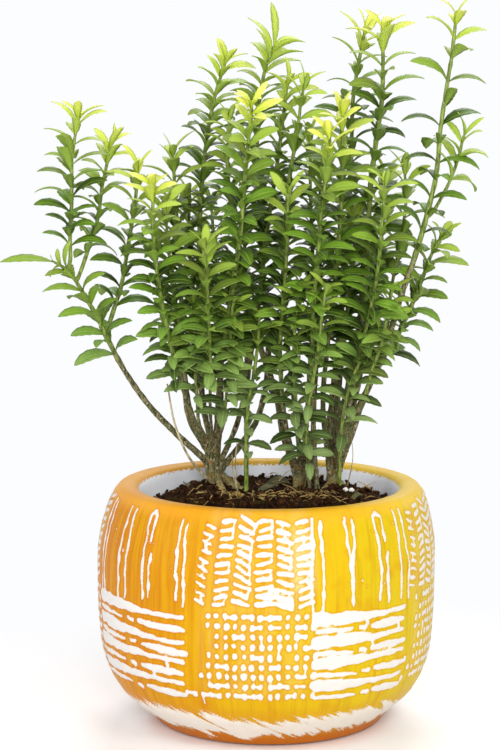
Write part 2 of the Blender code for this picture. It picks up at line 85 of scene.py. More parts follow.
class Wire:
    """An output socket. Arithmetic on it adds Math nodes to its own tree."""

    def __init__(self, tree, socket=None):
        self.tree, self.socket = tree, socket

    def node(self, kind, settings=None, sockets=None, out=0):
        """Adds a node, with its settings and then its sockets (values or Wires), and returns one output."""
        node = self.tree.nodes.new(kind)
        for name, value in (settings or {}).items():
            setattr(node, name, value)
        for name, value in (sockets or {}).items():
            if isinstance(value, Wire):
                self.tree.links.new(value.socket, node.inputs[name])
            else:
                node.inputs[name].default_value = value
        return Wire(self.tree, node.outputs[out])

    def other(self, name):
        """Another output of the same node."""
        return Wire(self.tree, self.socket.node.outputs[name])

    def math(self, operation, *terms):
        """A Math node; its first term is this socket."""
        return self.node("ShaderNodeMath", {"operation": operation}, dict(enumerate((self, *terms))))

    def flipped(self, operation, term):
        """The same with this socket as the second term, for 1 - mask and the like."""
        return self.node("ShaderNodeMath", {"operation": operation}, {0: term, 1: self})

    def vector(self, operation, other):
        """A Vector Math node."""
        return self.node("ShaderNodeVectorMath", {"operation": operation}, {0: self, 1: other})

    def between(self, low, high):
        """0 at `low`, 1 at `high`, and a smooth step from one to the other."""
        smooth = {"interpolation_type": "SMOOTHSTEP"}
        return self.node("ShaderNodeMapRange", smooth, {0: self, 1: low, 2: high})

    def held(self, low, high):
        """The same number, held within two limits."""
        return self.math("MAXIMUM", low).math("MINIMUM", high)

    def axis(self, name):
        """The X, Y or Z part of a vector."""
        return self.node("ShaderNodeSeparateXYZ", {}, {0: self}, name)

    def vector_of(self, x=0.0, y=0.0, z=0.0):
        """A vector in this tree, from three numbers or sockets."""
        return self.node("ShaderNodeCombineXYZ", {}, {0: x, 1: y, 2: z})

    def __add__(self, term):
        return self.math("ADD", term)

    def __sub__(self, term):
        return self.math("SUBTRACT", term)

    def __rsub__(self, term):
        return self.flipped("SUBTRACT", term)

    def __mul__(self, term):
        return self.math("MULTIPLY", term)

    def __truediv__(self, term):
        return self.math("DIVIDE", term)

    def __rtruediv__(self, term):
        return self.flipped("DIVIDE", term)

    def __pow__(self, term):
        return self.math("POWER", term)

    __radd__, __rmul__ = __add__, __mul__


print("signs that a Wire understands: + - * / **")


# %% [markdown]
# ## Tools for materials
# Every finish is a Principled shader whose colour, roughness and bump come from noise and from the piece's
# own coordinates. Colours are written as they look on a screen, in hexadecimal, and Blender wants them in
# linear light, so `colour` converts them. `mixed` blends two colours, `layered` lays several over one another
# as a painter does, and `noise` gives a cloud from 0 to 1.

# %% Colours, noise and a new material
def colour(code):
    """A linear RGBA colour from a screen colour such as "#f2ad1c"."""
    shares = [int(code[i:i + 2], 16) / 255 for i in (1, 3, 5)]
    return (*(s / 12.92 if s <= 0.04045 else ((s + 0.055) / 1.055) ** 2.4 for s in shares), 1)


def mixed(share, low, high):
    """The colour `low` where share is 0 and `high` where it is 1."""
    low, high = (colour(c) if isinstance(c, str) else c for c in (low, high))
    return share.node("ShaderNodeMix", {"data_type": "RGBA"}, {0: share, 6: low, 7: high}, 2)


def layered(base, *layers):
    """A colour with others laid over it in turn; each layer is (share, colour)."""
    for share, over in layers:
        base = mixed(share, base, over)
    return base


def noise(place, scale, detail=3.0, rough=0.55):
    """A cloud of 0 to 1; `scale` is how many of its lumps fit in a metre."""
    return place.node("ShaderNodeTexNoise", {}, {
        "Vector": place, "Scale": scale, "Detail": detail, "Roughness": rough}, "Fac")


def stretched(place, x, y, z):
    """The same coordinates, each axis times a number: the smaller it is, the longer the lumps of noise."""
    return place.vector("MULTIPLY", (x, y, z))


class Finish:
    """A material being made: `place` gives its Object coordinates in metres."""

    def __init__(self, name, roughness=0.6, **fixed):
        self.material = bpy.data.materials.new(name)
        self.material.use_nodes = True
        self.tree = self.material.node_tree
        self.shader = self.tree.nodes["Principled BSDF"]
        self.shader.inputs["Roughness"].default_value = roughness
        for label, value in fixed.items():
            self.shader.inputs[label.replace("_", " ")].default_value = value
        self.place = Wire(self.tree).node("ShaderNodeTexCoord", out="Object")

    def value(self, name):
        """A number stored on the piece's mesh."""
        return Wire(self.tree).node("ShaderNodeAttribute", {"attribute_name": name}, out="Fac")

    def set(self, label, wire):
        """Links something that changes over the surface to one of the shader's sockets."""
        self.tree.links.new(wire.socket, self.shader.inputs[label])

    def bump(self, height, strength, depth):
        """Shading relief, which comes last: `height` of 0 to 1 stands for up to `depth` metres."""
        self.set("Normal", height.node("ShaderNodeBump", {}, {
            "Strength": strength, "Distance": depth, "Height": height}))
        print(self.material.name, "has", len(self.tree.nodes), "nodes")


print("a clay orange in linear light:", [round(share, 3) for share in colour("#c88d02")])


# %% [markdown]
# ## Tools for Geometry Nodes and meshes
# A Geometry Nodes tree here has named inputs, so that one tree can grow forty different canes. A modifier
# runs the tree, and then the result is turned into a plain mesh and the modifier goes. What the tree stored
# on the points, such as a leaf's age, stays on that mesh, where a material can read it.

# %% A tree with named inputs, and the plain mesh that it makes
SOCKETS = {float: "NodeSocketFloat", int: "NodeSocketInt", "collection": "NodeSocketCollection",
           "material": "NodeSocketMaterial"}


def geometry_tree(name, inputs):
    """A new tree; `inputs` maps each name to a default number, or to "collection" or "material"."""
    tree = bpy.data.node_groups.new(name, "GeometryNodeTree")
    tree.interface.new_socket("Geometry", in_out="INPUT", socket_type="NodeSocketGeometry")
    tree.interface.new_socket("Geometry", in_out="OUTPUT", socket_type="NodeSocketGeometry")
    for label, value in inputs.items():
        kind = value if isinstance(value, str) else type(value)
        socket = tree.interface.new_socket(label, in_out="INPUT", socket_type=SOCKETS[kind])
        if not isinstance(value, str):
            socket.default_value = value
    entry = tree.nodes.new("NodeGroupInput")
    return tree, {socket.name: Wire(tree, socket) for socket in entry.outputs if socket.name}


def finish_tree(geometry, material):
    """Ends a tree in real faces with their material on."""
    real = geometry.node("GeometryNodeRealizeInstances", {}, {0: geometry})
    done = real.node("GeometryNodeSetMaterial", {}, {"Geometry": real, "Material": material})
    exit_node = geometry.tree.nodes.new("NodeGroupOutput")
    geometry.tree.links.new(done.socket, exit_node.inputs[0])


def with_tree(tree, obj, **settings):
    """Puts the tree on an object. Underscores stand for spaces in the names of its inputs."""
    modifier = obj.modifiers.new(tree.name, "NODES")
    modifier.node_group = tree
    given = {label.replace("_", " "): value for label, value in settings.items()}
    for item in tree.interface.items_tree:
        if item.in_out == "INPUT" and item.name in given:
            modifier[item.identifier] = given.pop(item.name)
    assert not given, f"{tree.name} has no input named {sorted(given)}"
    return obj


print("a tree's inputs can be", ", ".join(socket.removeprefix("NodeSocket") for socket in SOCKETS.values()))


# %% Plain meshes, made by a modifier or from points
def made_plain(*objects):
    """Leaves each object as the plain mesh that its modifiers make. Many at once take far less time."""
    graph = bpy.context.evaluated_depsgraph_get()
    graph.update()
    meshes = [bpy.data.meshes.new_from_object(obj.evaluated_get(graph), depsgraph=graph) for obj in objects]
    for obj, mesh in zip(objects, meshes):
        obj.modifiers.clear()
        obj.data, old = mesh, obj.data
        bpy.data.meshes.remove(old)
        mesh.name = obj.name
    return objects[0]


def add_mesh(name, points, edges=(), faces=(), material=None, smooth=True):
    """A mesh object at the origin, from points in millimetres."""
    mesh = bpy.data.meshes.new(name)
    mesh.from_pydata(np.asarray(points) * MM, edges, faces)
    mesh.polygons.foreach_set("use_smooth", [smooth] * len(mesh.polygons))
    if material:
        mesh.materials.append(material)
    obj = bpy.data.objects.new(name, mesh)
    bpy.context.scene.collection.objects.link(obj)
    return obj


def outwards(obj):
    """Turns all faces of a closed mesh outwards."""
    bm = bmesh.new()
    bm.from_mesh(obj.data)
    bmesh.ops.recalc_face_normals(bm, faces=bm.faces)
    bm.to_mesh(obj.data)
    bm.free()
    return obj


def ring_grid(rows, columns):
    """A grid that closes round an axis: the number of each point, of its neighbour, and the faces."""
    grid = np.arange(rows * columns).reshape(rows, columns)
    beside = np.roll(grid, -1, axis=1)
    faces = np.stack([grid[:-1], beside[:-1], beside[1:], grid[1:]], axis=-1).reshape(-1, 4).tolist()
    return grid, beside, faces


def store(obj, name, values, domain="POINT"):
    """Keeps one number for each point or face of a mesh, under a name."""
    obj.data.attributes.new(name, "FLOAT", domain).data.foreach_set("value", np.ravel(values).astype(float))


print("points are written in millimetres and kept in metres, times", MM)


# %% Pieces for the frame
def joined(name, *objects):
    """Several objects as one."""
    first = objects[0]
    with bpy.context.temp_override(active_object=first, object=first, selected_objects=objects,
                                   selected_editable_objects=objects):
        bpy.ops.object.join()
    first.name = first.data.name = name
    return first


def place_piece(obj, slot, *nodes):
    """Hangs a piece on the frame's root body and hides the plain solids that it stands for; `slot` is not
    used.
    """
    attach(obj, "root")
    if nodes:
        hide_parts(*nodes)
    triangles = sum(len(p.vertices) - 2 for p in obj.data.polygons)
    print(f"{obj.name}: {triangles} triangles, stands for {', '.join(nodes) or 'nothing'}")


# %% [markdown]
# ## Camera, floor and light
# The camera stands nearly as high as the plant and more than a metre away. It looks down a little, with a
# long lens, which keeps the canes from looking splayed. The floor is pale and runs out into a white
# background. Light is soft: a bright sky all round and four large lamps, from the right, from the left, in
# front and from behind, at a level where a colour renders about as it is written.

# %% Camera
CAMERA_PLACE = (-0.010, -1.200, 0.347)
CAMERA_TILT = 7.7  # degrees below the level
LENS = 109.5  # millimetres

camera = bpy.data.objects.new("camera", bpy.data.cameras.new("camera"))
bpy.context.scene.collection.objects.link(camera)
camera.location = CAMERA_PLACE
camera.rotation_euler = (math.radians(90 - CAMERA_TILT), 0, 0)
camera.data.lens = LENS
bpy.context.scene.camera = camera
bpy.context.scene.view_settings.view_transform = "Standard"
print("camera distance", round(camera.location.length, 3), "m")

# %% Floor and white background
FLOOR_SIZE, FLOOR_DROP = 3000, 0.3  # millimetres: half its width, and how far it lies under the pot
FADE_FROM, FADE_TO = 0.09, 0.30  # metres from the pot's middle, where the paper runs out into white
BACKGROUND = colour("#fcfdff")
SKY = 0.56  # strength of the sky's light on the plant; it shows as 1


def seen_directly(tree):
    """1 for what the camera sees, and for what metal or glass shows it."""
    seen = Wire(tree).node("ShaderNodeLightPath", out="Is Camera Ray")
    mirrored, through = seen.other("Is Glossy Ray"), seen.other("Is Transmission Ray")
    return seen.math("MAXIMUM", mirrored).math("MAXIMUM", through)


paper = Finish("floor_paper", roughness=0.55)
paper.shader.inputs["Base Color"].default_value = colour("#f4f2f1")
far = paper.place.node("ShaderNodeVectorMath", {"operation": "LENGTH"}, {0: paper.place}, "Value")
glow = far.node("ShaderNodeEmission", {}, {"Color": BACKGROUND, "Strength": 1.0})
faded = far.between(FADE_FROM, FADE_TO) * seen_directly(paper.tree)
plain = Wire(paper.tree, paper.shader.outputs[0])
white = glow.node("ShaderNodeMixShader", {}, {0: faded, 1: plain, 2: glow})
paper.tree.links.new(white.socket, paper.tree.nodes["Material Output"].inputs["Surface"])
corners = [(x * FLOOR_SIZE, y * FLOOR_SIZE, -FLOOR_DROP) for x, y in ((-1, -1), (1, -1), (1, 1), (-1, 1))]
floor = add_mesh("floor", corners, faces=[(0, 1, 2, 3)], material=paper.material)

world = bpy.data.worlds.new("studio")
bpy.context.scene.world = world
world.use_nodes = True
sky = world.node_tree.nodes["Background"]
sky.inputs["Color"].default_value = BACKGROUND
strength = SKY + seen_directly(world.node_tree) * (1 - SKY)
world.node_tree.links.new(strength.socket, sky.inputs["Strength"])
print("sky strength", SKY, "- floor", 2 * FLOOR_SIZE / 1000, "m wide")

# %% Lamps
LAMPS_FACE = Vector((0, 0, 0.17))  # the middle of the plant
LAMPS = {  # name: (place, size in metres, watts, tint)
    "key_lamp": ((0.95, -1.25, 1.35), 0.9, 12.5, "#fffaf2"),
    "fill_lamp": ((-1.5, -0.65, 0.7), 1.2, 11, "#f4f7ff"),
    "front_lamp": ((0.1, -1.6, 0.66), 0.6, 15.5, "#ffffff"),
    "back_lamp": ((0.2, 1.3, 1.4), 1.0, 14, "#ffffff"),
}
for name, (place, size, watts, tint) in LAMPS.items():
    lamp = bpy.data.objects.new(name, bpy.data.lights.new(name, "AREA"))
    lamp.data.size, lamp.data.energy, lamp.data.color = size, watts, colour(tint)[:3]
    lamp.location = place
    lamp.rotation_euler = (LAMPS_FACE - Vector(place)).to_track_quat("-Z", "Y").to_euler()
    bpy.context.scene.collection.objects.link(lamp)
print("lamps:", list(LAMPS))

# %% [markdown]
# ## The pot: its wall
# The real pot is thrown clay, so it could be a curve that is spun round an axis. Its pattern is trailed in
# white slip, though, and stands a few tenths of a millimetre proud, so the wall needs points fine enough to
# carry it. The wall is therefore a grid: each column is one step round the pot and each row one step
# along the profile, from the foot over the lip and down the inside.

# %% Profile of the wall: radius and height in millimetres
OUTSIDE = [(57, 0), (60.6, 0.9), (62.6, 3), (66.6, 7.5), (73.4, 13.5), (79.2, 19.5), (84.2, 28), (88, 41.5),
           (89.7, 62.7), (90, 84.6), (89.7, 95.5), (88, 106), (84.9, 117), (81.6, 124), (79.2, 126.4),
           (76, 127), (72.4, 126.6), (69.9, 125), (68.7, 122)]
INSIDE = [(68.3, 118), (68, 113), (67.4, 107), (66.5, 95), (63, 60), (58, 24), (52, 12)]
COLUMNS = 680
ROW_STEP = 1.12
BELLY = 90  # the largest radius
GIRTH = 2 * math.pi * BELLY  # places on the wall are measured along it


def smooth_curve(points, step):
    """Points about `step` apart on the Catmull-Rom curve through the given ones."""
    p = np.array(points, dtype=float)
    p = np.vstack([2 * p[0] - p[1], p, 2 * p[-1] - p[-2]])
    curve = []
    for a, b, c, d in zip(p, p[1:], p[2:], p[3:]):
        count = max(2, round(np.linalg.norm(c - b) / step))
        for t in np.arange(count) / count:
            curve.append(0.5 * (2 * b + (c - a) * t + (2 * a - 5 * b + 4 * c - d) * t**2
                                + (3 * b - a - 3 * c + d) * t**3))
    curve.append(p[-2])
    return np.array(curve)


profile = np.vstack([smooth_curve(OUTSIDE, ROW_STEP), INSIDE])
outside_rows = len(profile) - len(INSIDE)
turn = np.linspace(-math.pi, math.pi, COLUMNS, endpoint=False)  # 0 at the front, growing to the right
around = np.tile(turn / (2 * math.pi) * GIRTH, (len(profile), 1))
height = np.tile(profile[:, 1:], (1, COLUMNS))
print("wall:", len(profile), "rows of", COLUMNS, "points")

# %% [markdown]
# ## The pot: slip pattern
# Eight panels go round the pot. Four have six columns of slanted dashes over a block of dots, and four have
# wavy pairs of drips over uneven bars. A painter's strokes differ every time, so each stroke is a short
# path with its own thickness, drawn with a fixed seed. `Slip` keeps, for every point of the wall, how deep
# that point lies inside the nearest stroke: above zero it is white, and below zero it is bare ground.

# %% Noise and strokes on the wall
NOISE_ROWS = 97  # how many rows of lumps there are before the noise repeats upwards
BARE = -3.0  # the depth, in millimetres, of a point that is far from every stroke


def from_place(across, middle):
    """How far round the wall each point lies from `middle`, by the shorter way."""
    return (across - middle + GIRTH / 2) % GIRTH - GIRTH / 2


def smooth_noise(seed, across, up, wide, tall=None):
    """Noise of -1 to 1 with lumps `wide` by `tall` millimetres, which closes round the pot."""
    cells = max(3, round(GIRTH / wide))
    knots = np.random.default_rng(seed).uniform(-1, 1, (NOISE_ROWS, cells))
    a, b = across / GIRTH * cells, up / (tall or wide)
    i, j = np.floor(a).astype(int), np.floor(b).astype(int)
    s, t = a - i, b - j
    s, t = s * s * (3 - 2 * s), t * t * (3 - 2 * t)

    def knot(down, side):
        """The random number at one corner of each point's cell."""
        return knots[(j + down) % NOISE_ROWS, (i + side) % cells]

    return (1 - t) * ((1 - s) * knot(0, 0) + s * knot(0, 1)) + t * ((1 - s) * knot(1, 0) + s * knot(1, 1))


class Slip:
    """The slip on the wall; `depth` is in millimetres."""

    def __init__(self, across, up):
        self.across, self.up = across, up
        self.depth = np.full(across.shape, BARE)

    def stroke(self, points, widths):
        """One stroke through the points (across, up), `widths` wide at each of them."""
        points, radii = np.array(points, float), np.array(widths, float) / 2
        reach = radii.max() + 1 - BARE
        low, high = points.min(axis=0) - reach, points.max(axis=0) + reach
        rows = np.flatnonzero((profile[:, 1] > low[1]) & (profile[:, 1] < high[1]))
        rows = rows[rows < outside_rows]
        first = math.floor((low[0] / GIRTH + 0.5) * COLUMNS)
        last = math.ceil((high[0] / GIRTH + 0.5) * COLUMNS)
        spot = np.ix_(rows, np.arange(first, last + 1) % COLUMNS)
        x = from_place(self.across[spot], points[0, 0]) + points[0, 0]
        y, best = self.up[spot], self.depth[spot]
        for a, b, wide_a, wide_b in zip(points, points[1:], radii, radii[1:]):
            along = b - a
            share = ((x - a[0]) * along[0] + (y - a[1]) * along[1]) / max(along @ along, 1e-9)
            share = np.clip(share, 0, 1)
            apart = np.hypot(x - a[0] - share * along[0], y - a[1] - share * along[1])
            best = np.maximum(best, wide_a + share * (wide_b - wide_a) - apart)
        self.depth[spot] = best


rng = np.random.default_rng(7)
slip = Slip(around + 0.45 * smooth_noise(1, around, height, 5) + 0.22 * smooth_noise(2, around, height, 1.6),
            height + 0.45 * smooth_noise(3, around, height, 4) + 0.22 * smooth_noise(4, around, height, 1.6))
print("noise shifts the strokes by up to", round(float(abs(slip.up - height).max()), 2), "mm")

# %% Panels of dashes
TOP = 122.5  # height of the pattern's upper edge
SPLIT = 77.0  # height where the upper half of a panel meets the lower one
# Six upright columns: (middle from the panel's left edge, half length of a dash, its slant in degrees, lean)
DASH_COLUMNS = [(3.6, 2.4, -20, -2.2), (14.0, 3.1, 8, -1.7), (24.4, 3.7, -24, -1.7), (35.0, 3.6, 10, -0.4),
                (45.6, 3.5, -18, 0.2), (56.0, 3.6, 13, 0.4)]
DASH_PANEL = 61  # width of the panel that these columns are measured in


def dashes(left, width):
    """Six upright columns of slanted dashes, slanting one way and then the other; many join at an end."""
    for column, (middle, half, slant, lean) in enumerate(DASH_COLUMNS):
        middle, first = left + middle * width / DASH_PANEL, column == 0
        up, edge = TOP - rng.uniform(0, 1.5) - 2.5 * first, []
        while up > SPLIT + 2.6:
            across = middle + lean * (100 - up) / 22 + rng.uniform(-0.4, 0.4)
            long = half * rng.uniform(0.86, 1.08)
            rise = long * math.tan(math.radians(slant + rng.uniform(-7, 7)))
            wide = rng.uniform(2.0, 2.7) * (0.8 if first else 1)
            knee = (across, up + rng.uniform(-0.3, 0.3))
            path = [(across - long, up - rise), knee, (across + long, up + rise)]
            slip.stroke(path, [wide * rng.uniform(0.75, 1), wide, wide * rng.uniform(0.7, 1)])
            side = rng.choice([-0.3, 0.3, 0.9]) if first or column > 3 else 0.97
            edge.append((across + side * long, up + side * rise))
            up -= rng.uniform(3.8, 4.3)
        for a, b in zip(edge, edge[1:]):
            if rng.random() < 0.5:
                slip.stroke([a, b], [rng.uniform(0.8, 1.7), rng.uniform(0.8, 1.4)])
    for row in range(3):  # three heavier strokes close the panel on the right
        up = SPLIT + 4.5 + 3.6 * row
        slip.stroke([(left + width * (0.53 + 0.05 * row), up), (left + width * 0.7, up + 0.6),
                     (left + width * (0.8 - 0.06 * row), up - 0.4)], [2.6, 2.0, 2.6])


print("dash columns:", len(DASH_COLUMNS))

# %% Blocks of dots
DOT_STEP, DOT_ROW = 4.5, 5.2  # from dot to dot, and from row to row
DOT_ROWS = 9


def dots(left, columns):
    """Nine rows of square dots; here and there neighbours run together."""
    for row in range(DOT_ROWS):
        up = SPLIT - 2.2 - DOT_ROW * row
        early = 0 if row < 6 else -int(rng.integers(1, 4))  # the lowest rows start further left
        for column in range(early, columns):
            across = left + DOT_STEP * column + rng.uniform(-0.4, 0.4)
            if rng.random() < (0.25 if column < 1 else 0.02):  # a dot that was left out
                continue
            lift, wide, tall = rng.uniform(-0.35, 0.35), rng.uniform(2.4, 3.1), rng.uniform(0.1, 0.7)
            slip.stroke([(across, up + lift + tall), (across + rng.uniform(-0.2, 0.2), up + lift - tall)],
                        [wide, wide * rng.uniform(0.85, 1.1)])
            runs_on = 0.4 if row in (0, 7, 8) or column > 0.7 * columns else 0.14
            if rng.random() < runs_on and column < columns - 1:
                slip.stroke([(across, up + lift), (across + DOT_STEP, up)], [rng.uniform(1.6, 2.6), 2.0])
            if rng.random() < 0.05:
                slip.stroke([(across, up), (across, up - DOT_ROW)], [1.3, 1.1])


print("rows of dots:", DOT_ROWS)

# %% Panels of drips
DRIP_STEP = 2.8  # millimetres from point to point along a drip


def drip(across, top, bottom, wander):
    """A thin wavy line that runs down, with a few thick places."""
    steps = max(5, round((top - bottom) / DRIP_STEP))
    path = across + np.cumsum(rng.uniform(-0.55, 0.55, steps)) + wander * np.linspace(0, 1, steps)
    width = rng.uniform(1.15, 1.8, steps)
    width[rng.integers(1, steps - 1, 3)] += rng.uniform(0.5, 1.3, 3)
    slip.stroke(list(zip(path, np.linspace(top, bottom, steps))), width)
    return path[0]


def drips(left, width):
    """Pairs of drips down the panel, some of which meet at the top; a closer pair marks its left edge."""
    drip(left + 1.5, TOP, SPLIT - 1, 0)
    drip(left + 5.2, TOP - 1, SPLIT - 1, 0)
    for pair in range(3):
        across = left + width * (0.33 + 0.3 * pair) + rng.uniform(-1.5, 1.5)
        gap = rng.uniform(3.4, 6.2)
        top = TOP - rng.uniform(0, 2)
        a = drip(across, top, SPLIT + rng.uniform(-1, 4), rng.uniform(-2, 2))
        if rng.random() < 0.35:
            b = drip(across + gap, top, top - rng.uniform(8, 14), 0)
            drip(across + gap + 1, top - rng.uniform(16, 20), SPLIT + rng.uniform(-1, 4), rng.uniform(-2, 2))
        else:
            b = drip(across + gap, top - rng.uniform(0, 2), SPLIT + rng.uniform(-1, 5), rng.uniform(-2, 2))
        if pair == 1:
            slip.stroke([(a, top), ((a + b) / 2, top + 1.5), (b, top - 1)], [1.8, 2.8, 1.8])
    for _ in range(6):  # spatters between the drips
        across, up = left + rng.uniform(8, width - 3), rng.uniform(84, 117)
        slip.stroke([(across, up), (across + 0.3, up - 0.8)], [rng.uniform(0.6, 1.4)] * 2)


print("a full drip is", TOP - SPLIT, "mm long")

# %% Uneven bars
BARS, BAR_ROW, BAR_STEP = 8, 5.8, 4  # their number, the rise between two, and between points along one


def bars(left, width):
    """Level bars: whole ones, heavy on the left and tapered, between ones that break into three pieces."""
    for bar in range(BARS):
        up, whole = SPLIT - 4.2 - BAR_ROW * bar, bar % 2 == 0
        heavy = rng.uniform(5.6, 7.4)
        if whole:
            tapered = [heavy, heavy * rng.uniform(0.9, 1.1), heavy * 0.8, 3.6, 2.6, rng.uniform(2, 3)]
            pieces = [(0.0, 1.0, tapered)]
        else:
            gap = rng.uniform(0.36, 0.46)
            pieces = [(0.0, gap, [2.2, 2.8, 2.4, 1.6]), (gap + 0.08, gap + 0.13, [2.4, 2.8]),
                      (gap + 0.2, 1.0, [2.4, 3.8, 4.2, 4.0, 2.4])]
        for start, end, widths in pieces:
            a = left + width * start + (0 if start else rng.uniform(0.5, 2.5) + widths[0] / 3)
            b = left + width * end - (0 if end < 1 else rng.uniform(-1.5, 2.0))
            steps = max(2, round((b - a) / BAR_STEP))
            share = np.linspace(0, 1, steps + 1)
            path = up - 0.6 * (start + share) + np.cumsum(rng.uniform(-0.3, 0.3, steps + 1))
            planned = np.interp(share, np.linspace(0, 1, len(widths)), widths)
            slip.stroke(list(zip(a + (b - a) * share, path)), planned * rng.uniform(0.85, 1.12, steps + 1))
        if rng.random() < 0.3:  # a run of slip joins this bar to the next
            across = left + rng.uniform(0.5, 0.9) * width
            slip.stroke([(across, up), (across + 1.5, up - 5)], [2.4, 1.8])


print("bars in a panel:", BARS)

# %% Paint all eight panels
# Each panel: its left edge and width along the wall, measured from the middle of the front
PANELS = [("dashes", -38, 61), ("drips", 22, 60), ("dashes", 86, 61), ("drips", 152, 70),
          ("dashes", 228, 63), ("drips", 298, 74), ("dashes", 380, 64), ("drips", 449, 72)]
for kind, left, width in PANELS:
    if kind == "dashes":
        dashes(left, width)
        dots(left + 6.6, round(width / 4.7))
    else:
        drips(left, width)
        bars(left - 1, width)
print("slip covers", round(100 * float((slip.depth > 0).mean())), "% of the wall")

# %% [markdown]
# ## The pot: scraped foot and wear
# Just above the foot the ground colour was scraped away in a ragged band that shows white clay, and strokes
# are thinner where the wash was brushed over them. Both are changes to the same depth, so they need no
# pieces of their own.

# %% Scraped band above the foot, and brushed-over strokes
BAND_BOTTOM, BAND_TOP = 6.4, 20.0  # middle heights of the scraped band's edges
BAND_ENDS = 27  # no scrape reaches higher
SCRAPE_SLANT = 1.9  # millimetres sideways for each one up
LIP_ROWS = 14  # rows below the lip that the slip never reaches

slanting = around + SCRAPE_SLANT * height
band_top = BAND_TOP + (
    2.8 * smooth_noise(11, around, height, 34, 400) + 1.6 * smooth_noise(12, slanting, height, 7, 60)
    + 2.6 * smooth_noise(13, slanting, height, 2.0, 9))
band_bottom = (BAND_BOTTOM + 2.6 * smooth_noise(14, around, height, 15, 400)
               + 1.7 * smooth_noise(15, slanting, height, 3))
band = np.minimum(band_top - height, height - band_bottom)
band -= 9.0 * np.clip(smooth_noise(16, slanting, height, 2.4, 7) - 0.34, 0, 1)  # flecks of ground left in it
brushed = np.clip(smooth_noise(17, around, height, 13, 18) - 0.2, 0, 1)
depth = np.where(height > BAND_ENDS, slip.depth - 0.3 * brushed, np.maximum(slip.depth, band))
depth[outside_rows - LIP_ROWS:] = BARE
depth = np.clip(depth, BARE, -BARE)
print("scraped band covers", round(100 * float((band > 0).mean()), 1), "% of the wall")

# %% A thin pale wash over the right side of each panel of dashes, and thinner over all of it
washed = np.zeros(height.shape)
for kind, left, width in PANELS:
    if kind == "dashes":
        off_edge = abs(from_place(around - left, width * 0.9))
        fades = np.clip((height - SPLIT - 6) / 8, 0, 1) * np.clip((120 - height) / 5, 0, 1)
        washed += np.clip(1.4 - off_edge / 6, 0, 1) * fades
        off_middle = abs(from_place(around - left, width / 2))
        washed += 0.2 * np.clip((width / 2 + 1 - off_middle) / 6, 0, 1) * np.clip((height - 30) / 6, 0, 1)
washed *= np.clip(0.7 + 0.9 * smooth_noise(18, around, height, 3, 30), 0, 1)
print("wash covers", round(100 * float((washed > 0.1).mean())), "% of the wall")

# %% [markdown]
# ## The pot: the mesh
# The slip stands 0.35 mm proud with rounded shoulders, and the thrown wall is never quite round. The base
# and the floor inside are flat, with three drain holes through them. Those two faces are filled between their
# outer ring and the rings of the holes, which keeps the whole pot one closed shell.

# %% The wall with its slip on
RELIEF, SHOULDER = 0.35, 0.9  # height of the slip, and width of its rounded edge
BULGE = 1.5  # how much further the belly stands out on the left than on the right

shoulder = np.clip(depth / SHOULDER + 0.5, 0, 1)
proud = RELIEF * shoulder * shoulder * (3 - 2 * shoulder)
slope = np.gradient(profile, axis=0)
normal = np.column_stack([slope[:, 1], -slope[:, 0]]) / np.linalg.norm(slope, axis=1)[:, None]
uneven = 0.22 * smooth_noise(21, around, height, 60, 30) + 0.06 * smooth_noise(22, around, height, 7, 3)
uneven -= BULGE * np.sin(turn) * np.sin(np.clip(height / 122, 0, 1) * math.pi) ** 0.7
fade = np.clip(height / 4, 0, 1)  # the foot stays true and flat
fade[outside_rows:] = 0
push = proud * fade + uneven * fade
radius = profile[:, :1] + push * normal[:, :1]
level = profile[:, 1:] + push * normal[:, 1:]
points = np.stack([radius * np.sin(turn), -radius * np.cos(turn), level], axis=-1).reshape(-1, 3)
grid, _, faces = ring_grid(len(profile), COLUMNS)
pot = add_mesh("pot_shell", points, faces=faces)
store(pot, "slip", depth)
store(pot, "washed", washed)
print("widest radius", round(float(radius.max()), 2), "mm")

# %% The base, the floor inside and three drain holes through both
HOLE_RADIUS, HOLE_CIRCLE, HOLE_TURN, HOLE_SIDES = 5.0, 28.0, 122.0, 32
FLOOR_TOP = INSIDE[-1][1]

bm = bmesh.new()
bm.from_mesh(pot.data)
bm.verts.ensure_lookup_table()


def ring_edges(verts):
    """The edges that join a ring of points, made where they are missing."""
    pairs = list(zip(verts, verts[1:] + verts[:1]))
    return [bm.edges.get(pair) or bm.edges.new(pair) for pair in pairs]


outer_rings = [[bm.verts[i] for i in grid[row]] for row in (0, -1)]
hole_rings = []
for k in range(3):
    spin = math.radians(HOLE_TURN + 120 * k)
    x, y = HOLE_CIRCLE * math.cos(spin), HOLE_CIRCLE * math.sin(spin)
    circle = [(x + HOLE_RADIUS * math.cos(a), y + HOLE_RADIUS * math.sin(a))
              for a in np.linspace(0, 2 * math.pi, HOLE_SIDES, endpoint=False)]
    rings = [[bm.verts.new(Vector((*spot, z)) * MM) for spot in circle] for z in (0, FLOOR_TOP)]
    hole_rings.append(rings)
    for i in range(HOLE_SIDES):
        j = (i + 1) % HOLE_SIDES
        bm.faces.new((rings[0][i], rings[0][j], rings[1][j], rings[1][i]))
for side in (0, 1):
    loops = ring_edges(outer_rings[side])
    for rings in hole_rings:
        loops += ring_edges(rings[side])
    bmesh.ops.triangle_fill(bm, edges=loops, use_beauty=True)
bmesh.ops.recalc_face_normals(bm, faces=bm.faces)
slip_layer = bm.verts.layers.float["slip"]
for rings in hole_rings:
    for v in rings[0] + rings[1]:
        v[slip_layer] = BARE
for face in bm.faces:
    face.smooth = abs(face.normal.z) < 0.98 or face.calc_center_median().z > 100 * MM
for edge in bm.edges:
    if len(edge.link_faces) == 2 and edge.link_faces[0].smooth != edge.link_faces[1].smooth:
        edge.smooth = False
open_edges = sum(not e.is_manifold for e in bm.edges)
bm.to_mesh(pot.data)
bm.free()
print("pot faces:", len(pot.data.polygons), "open edges:", open_edges)
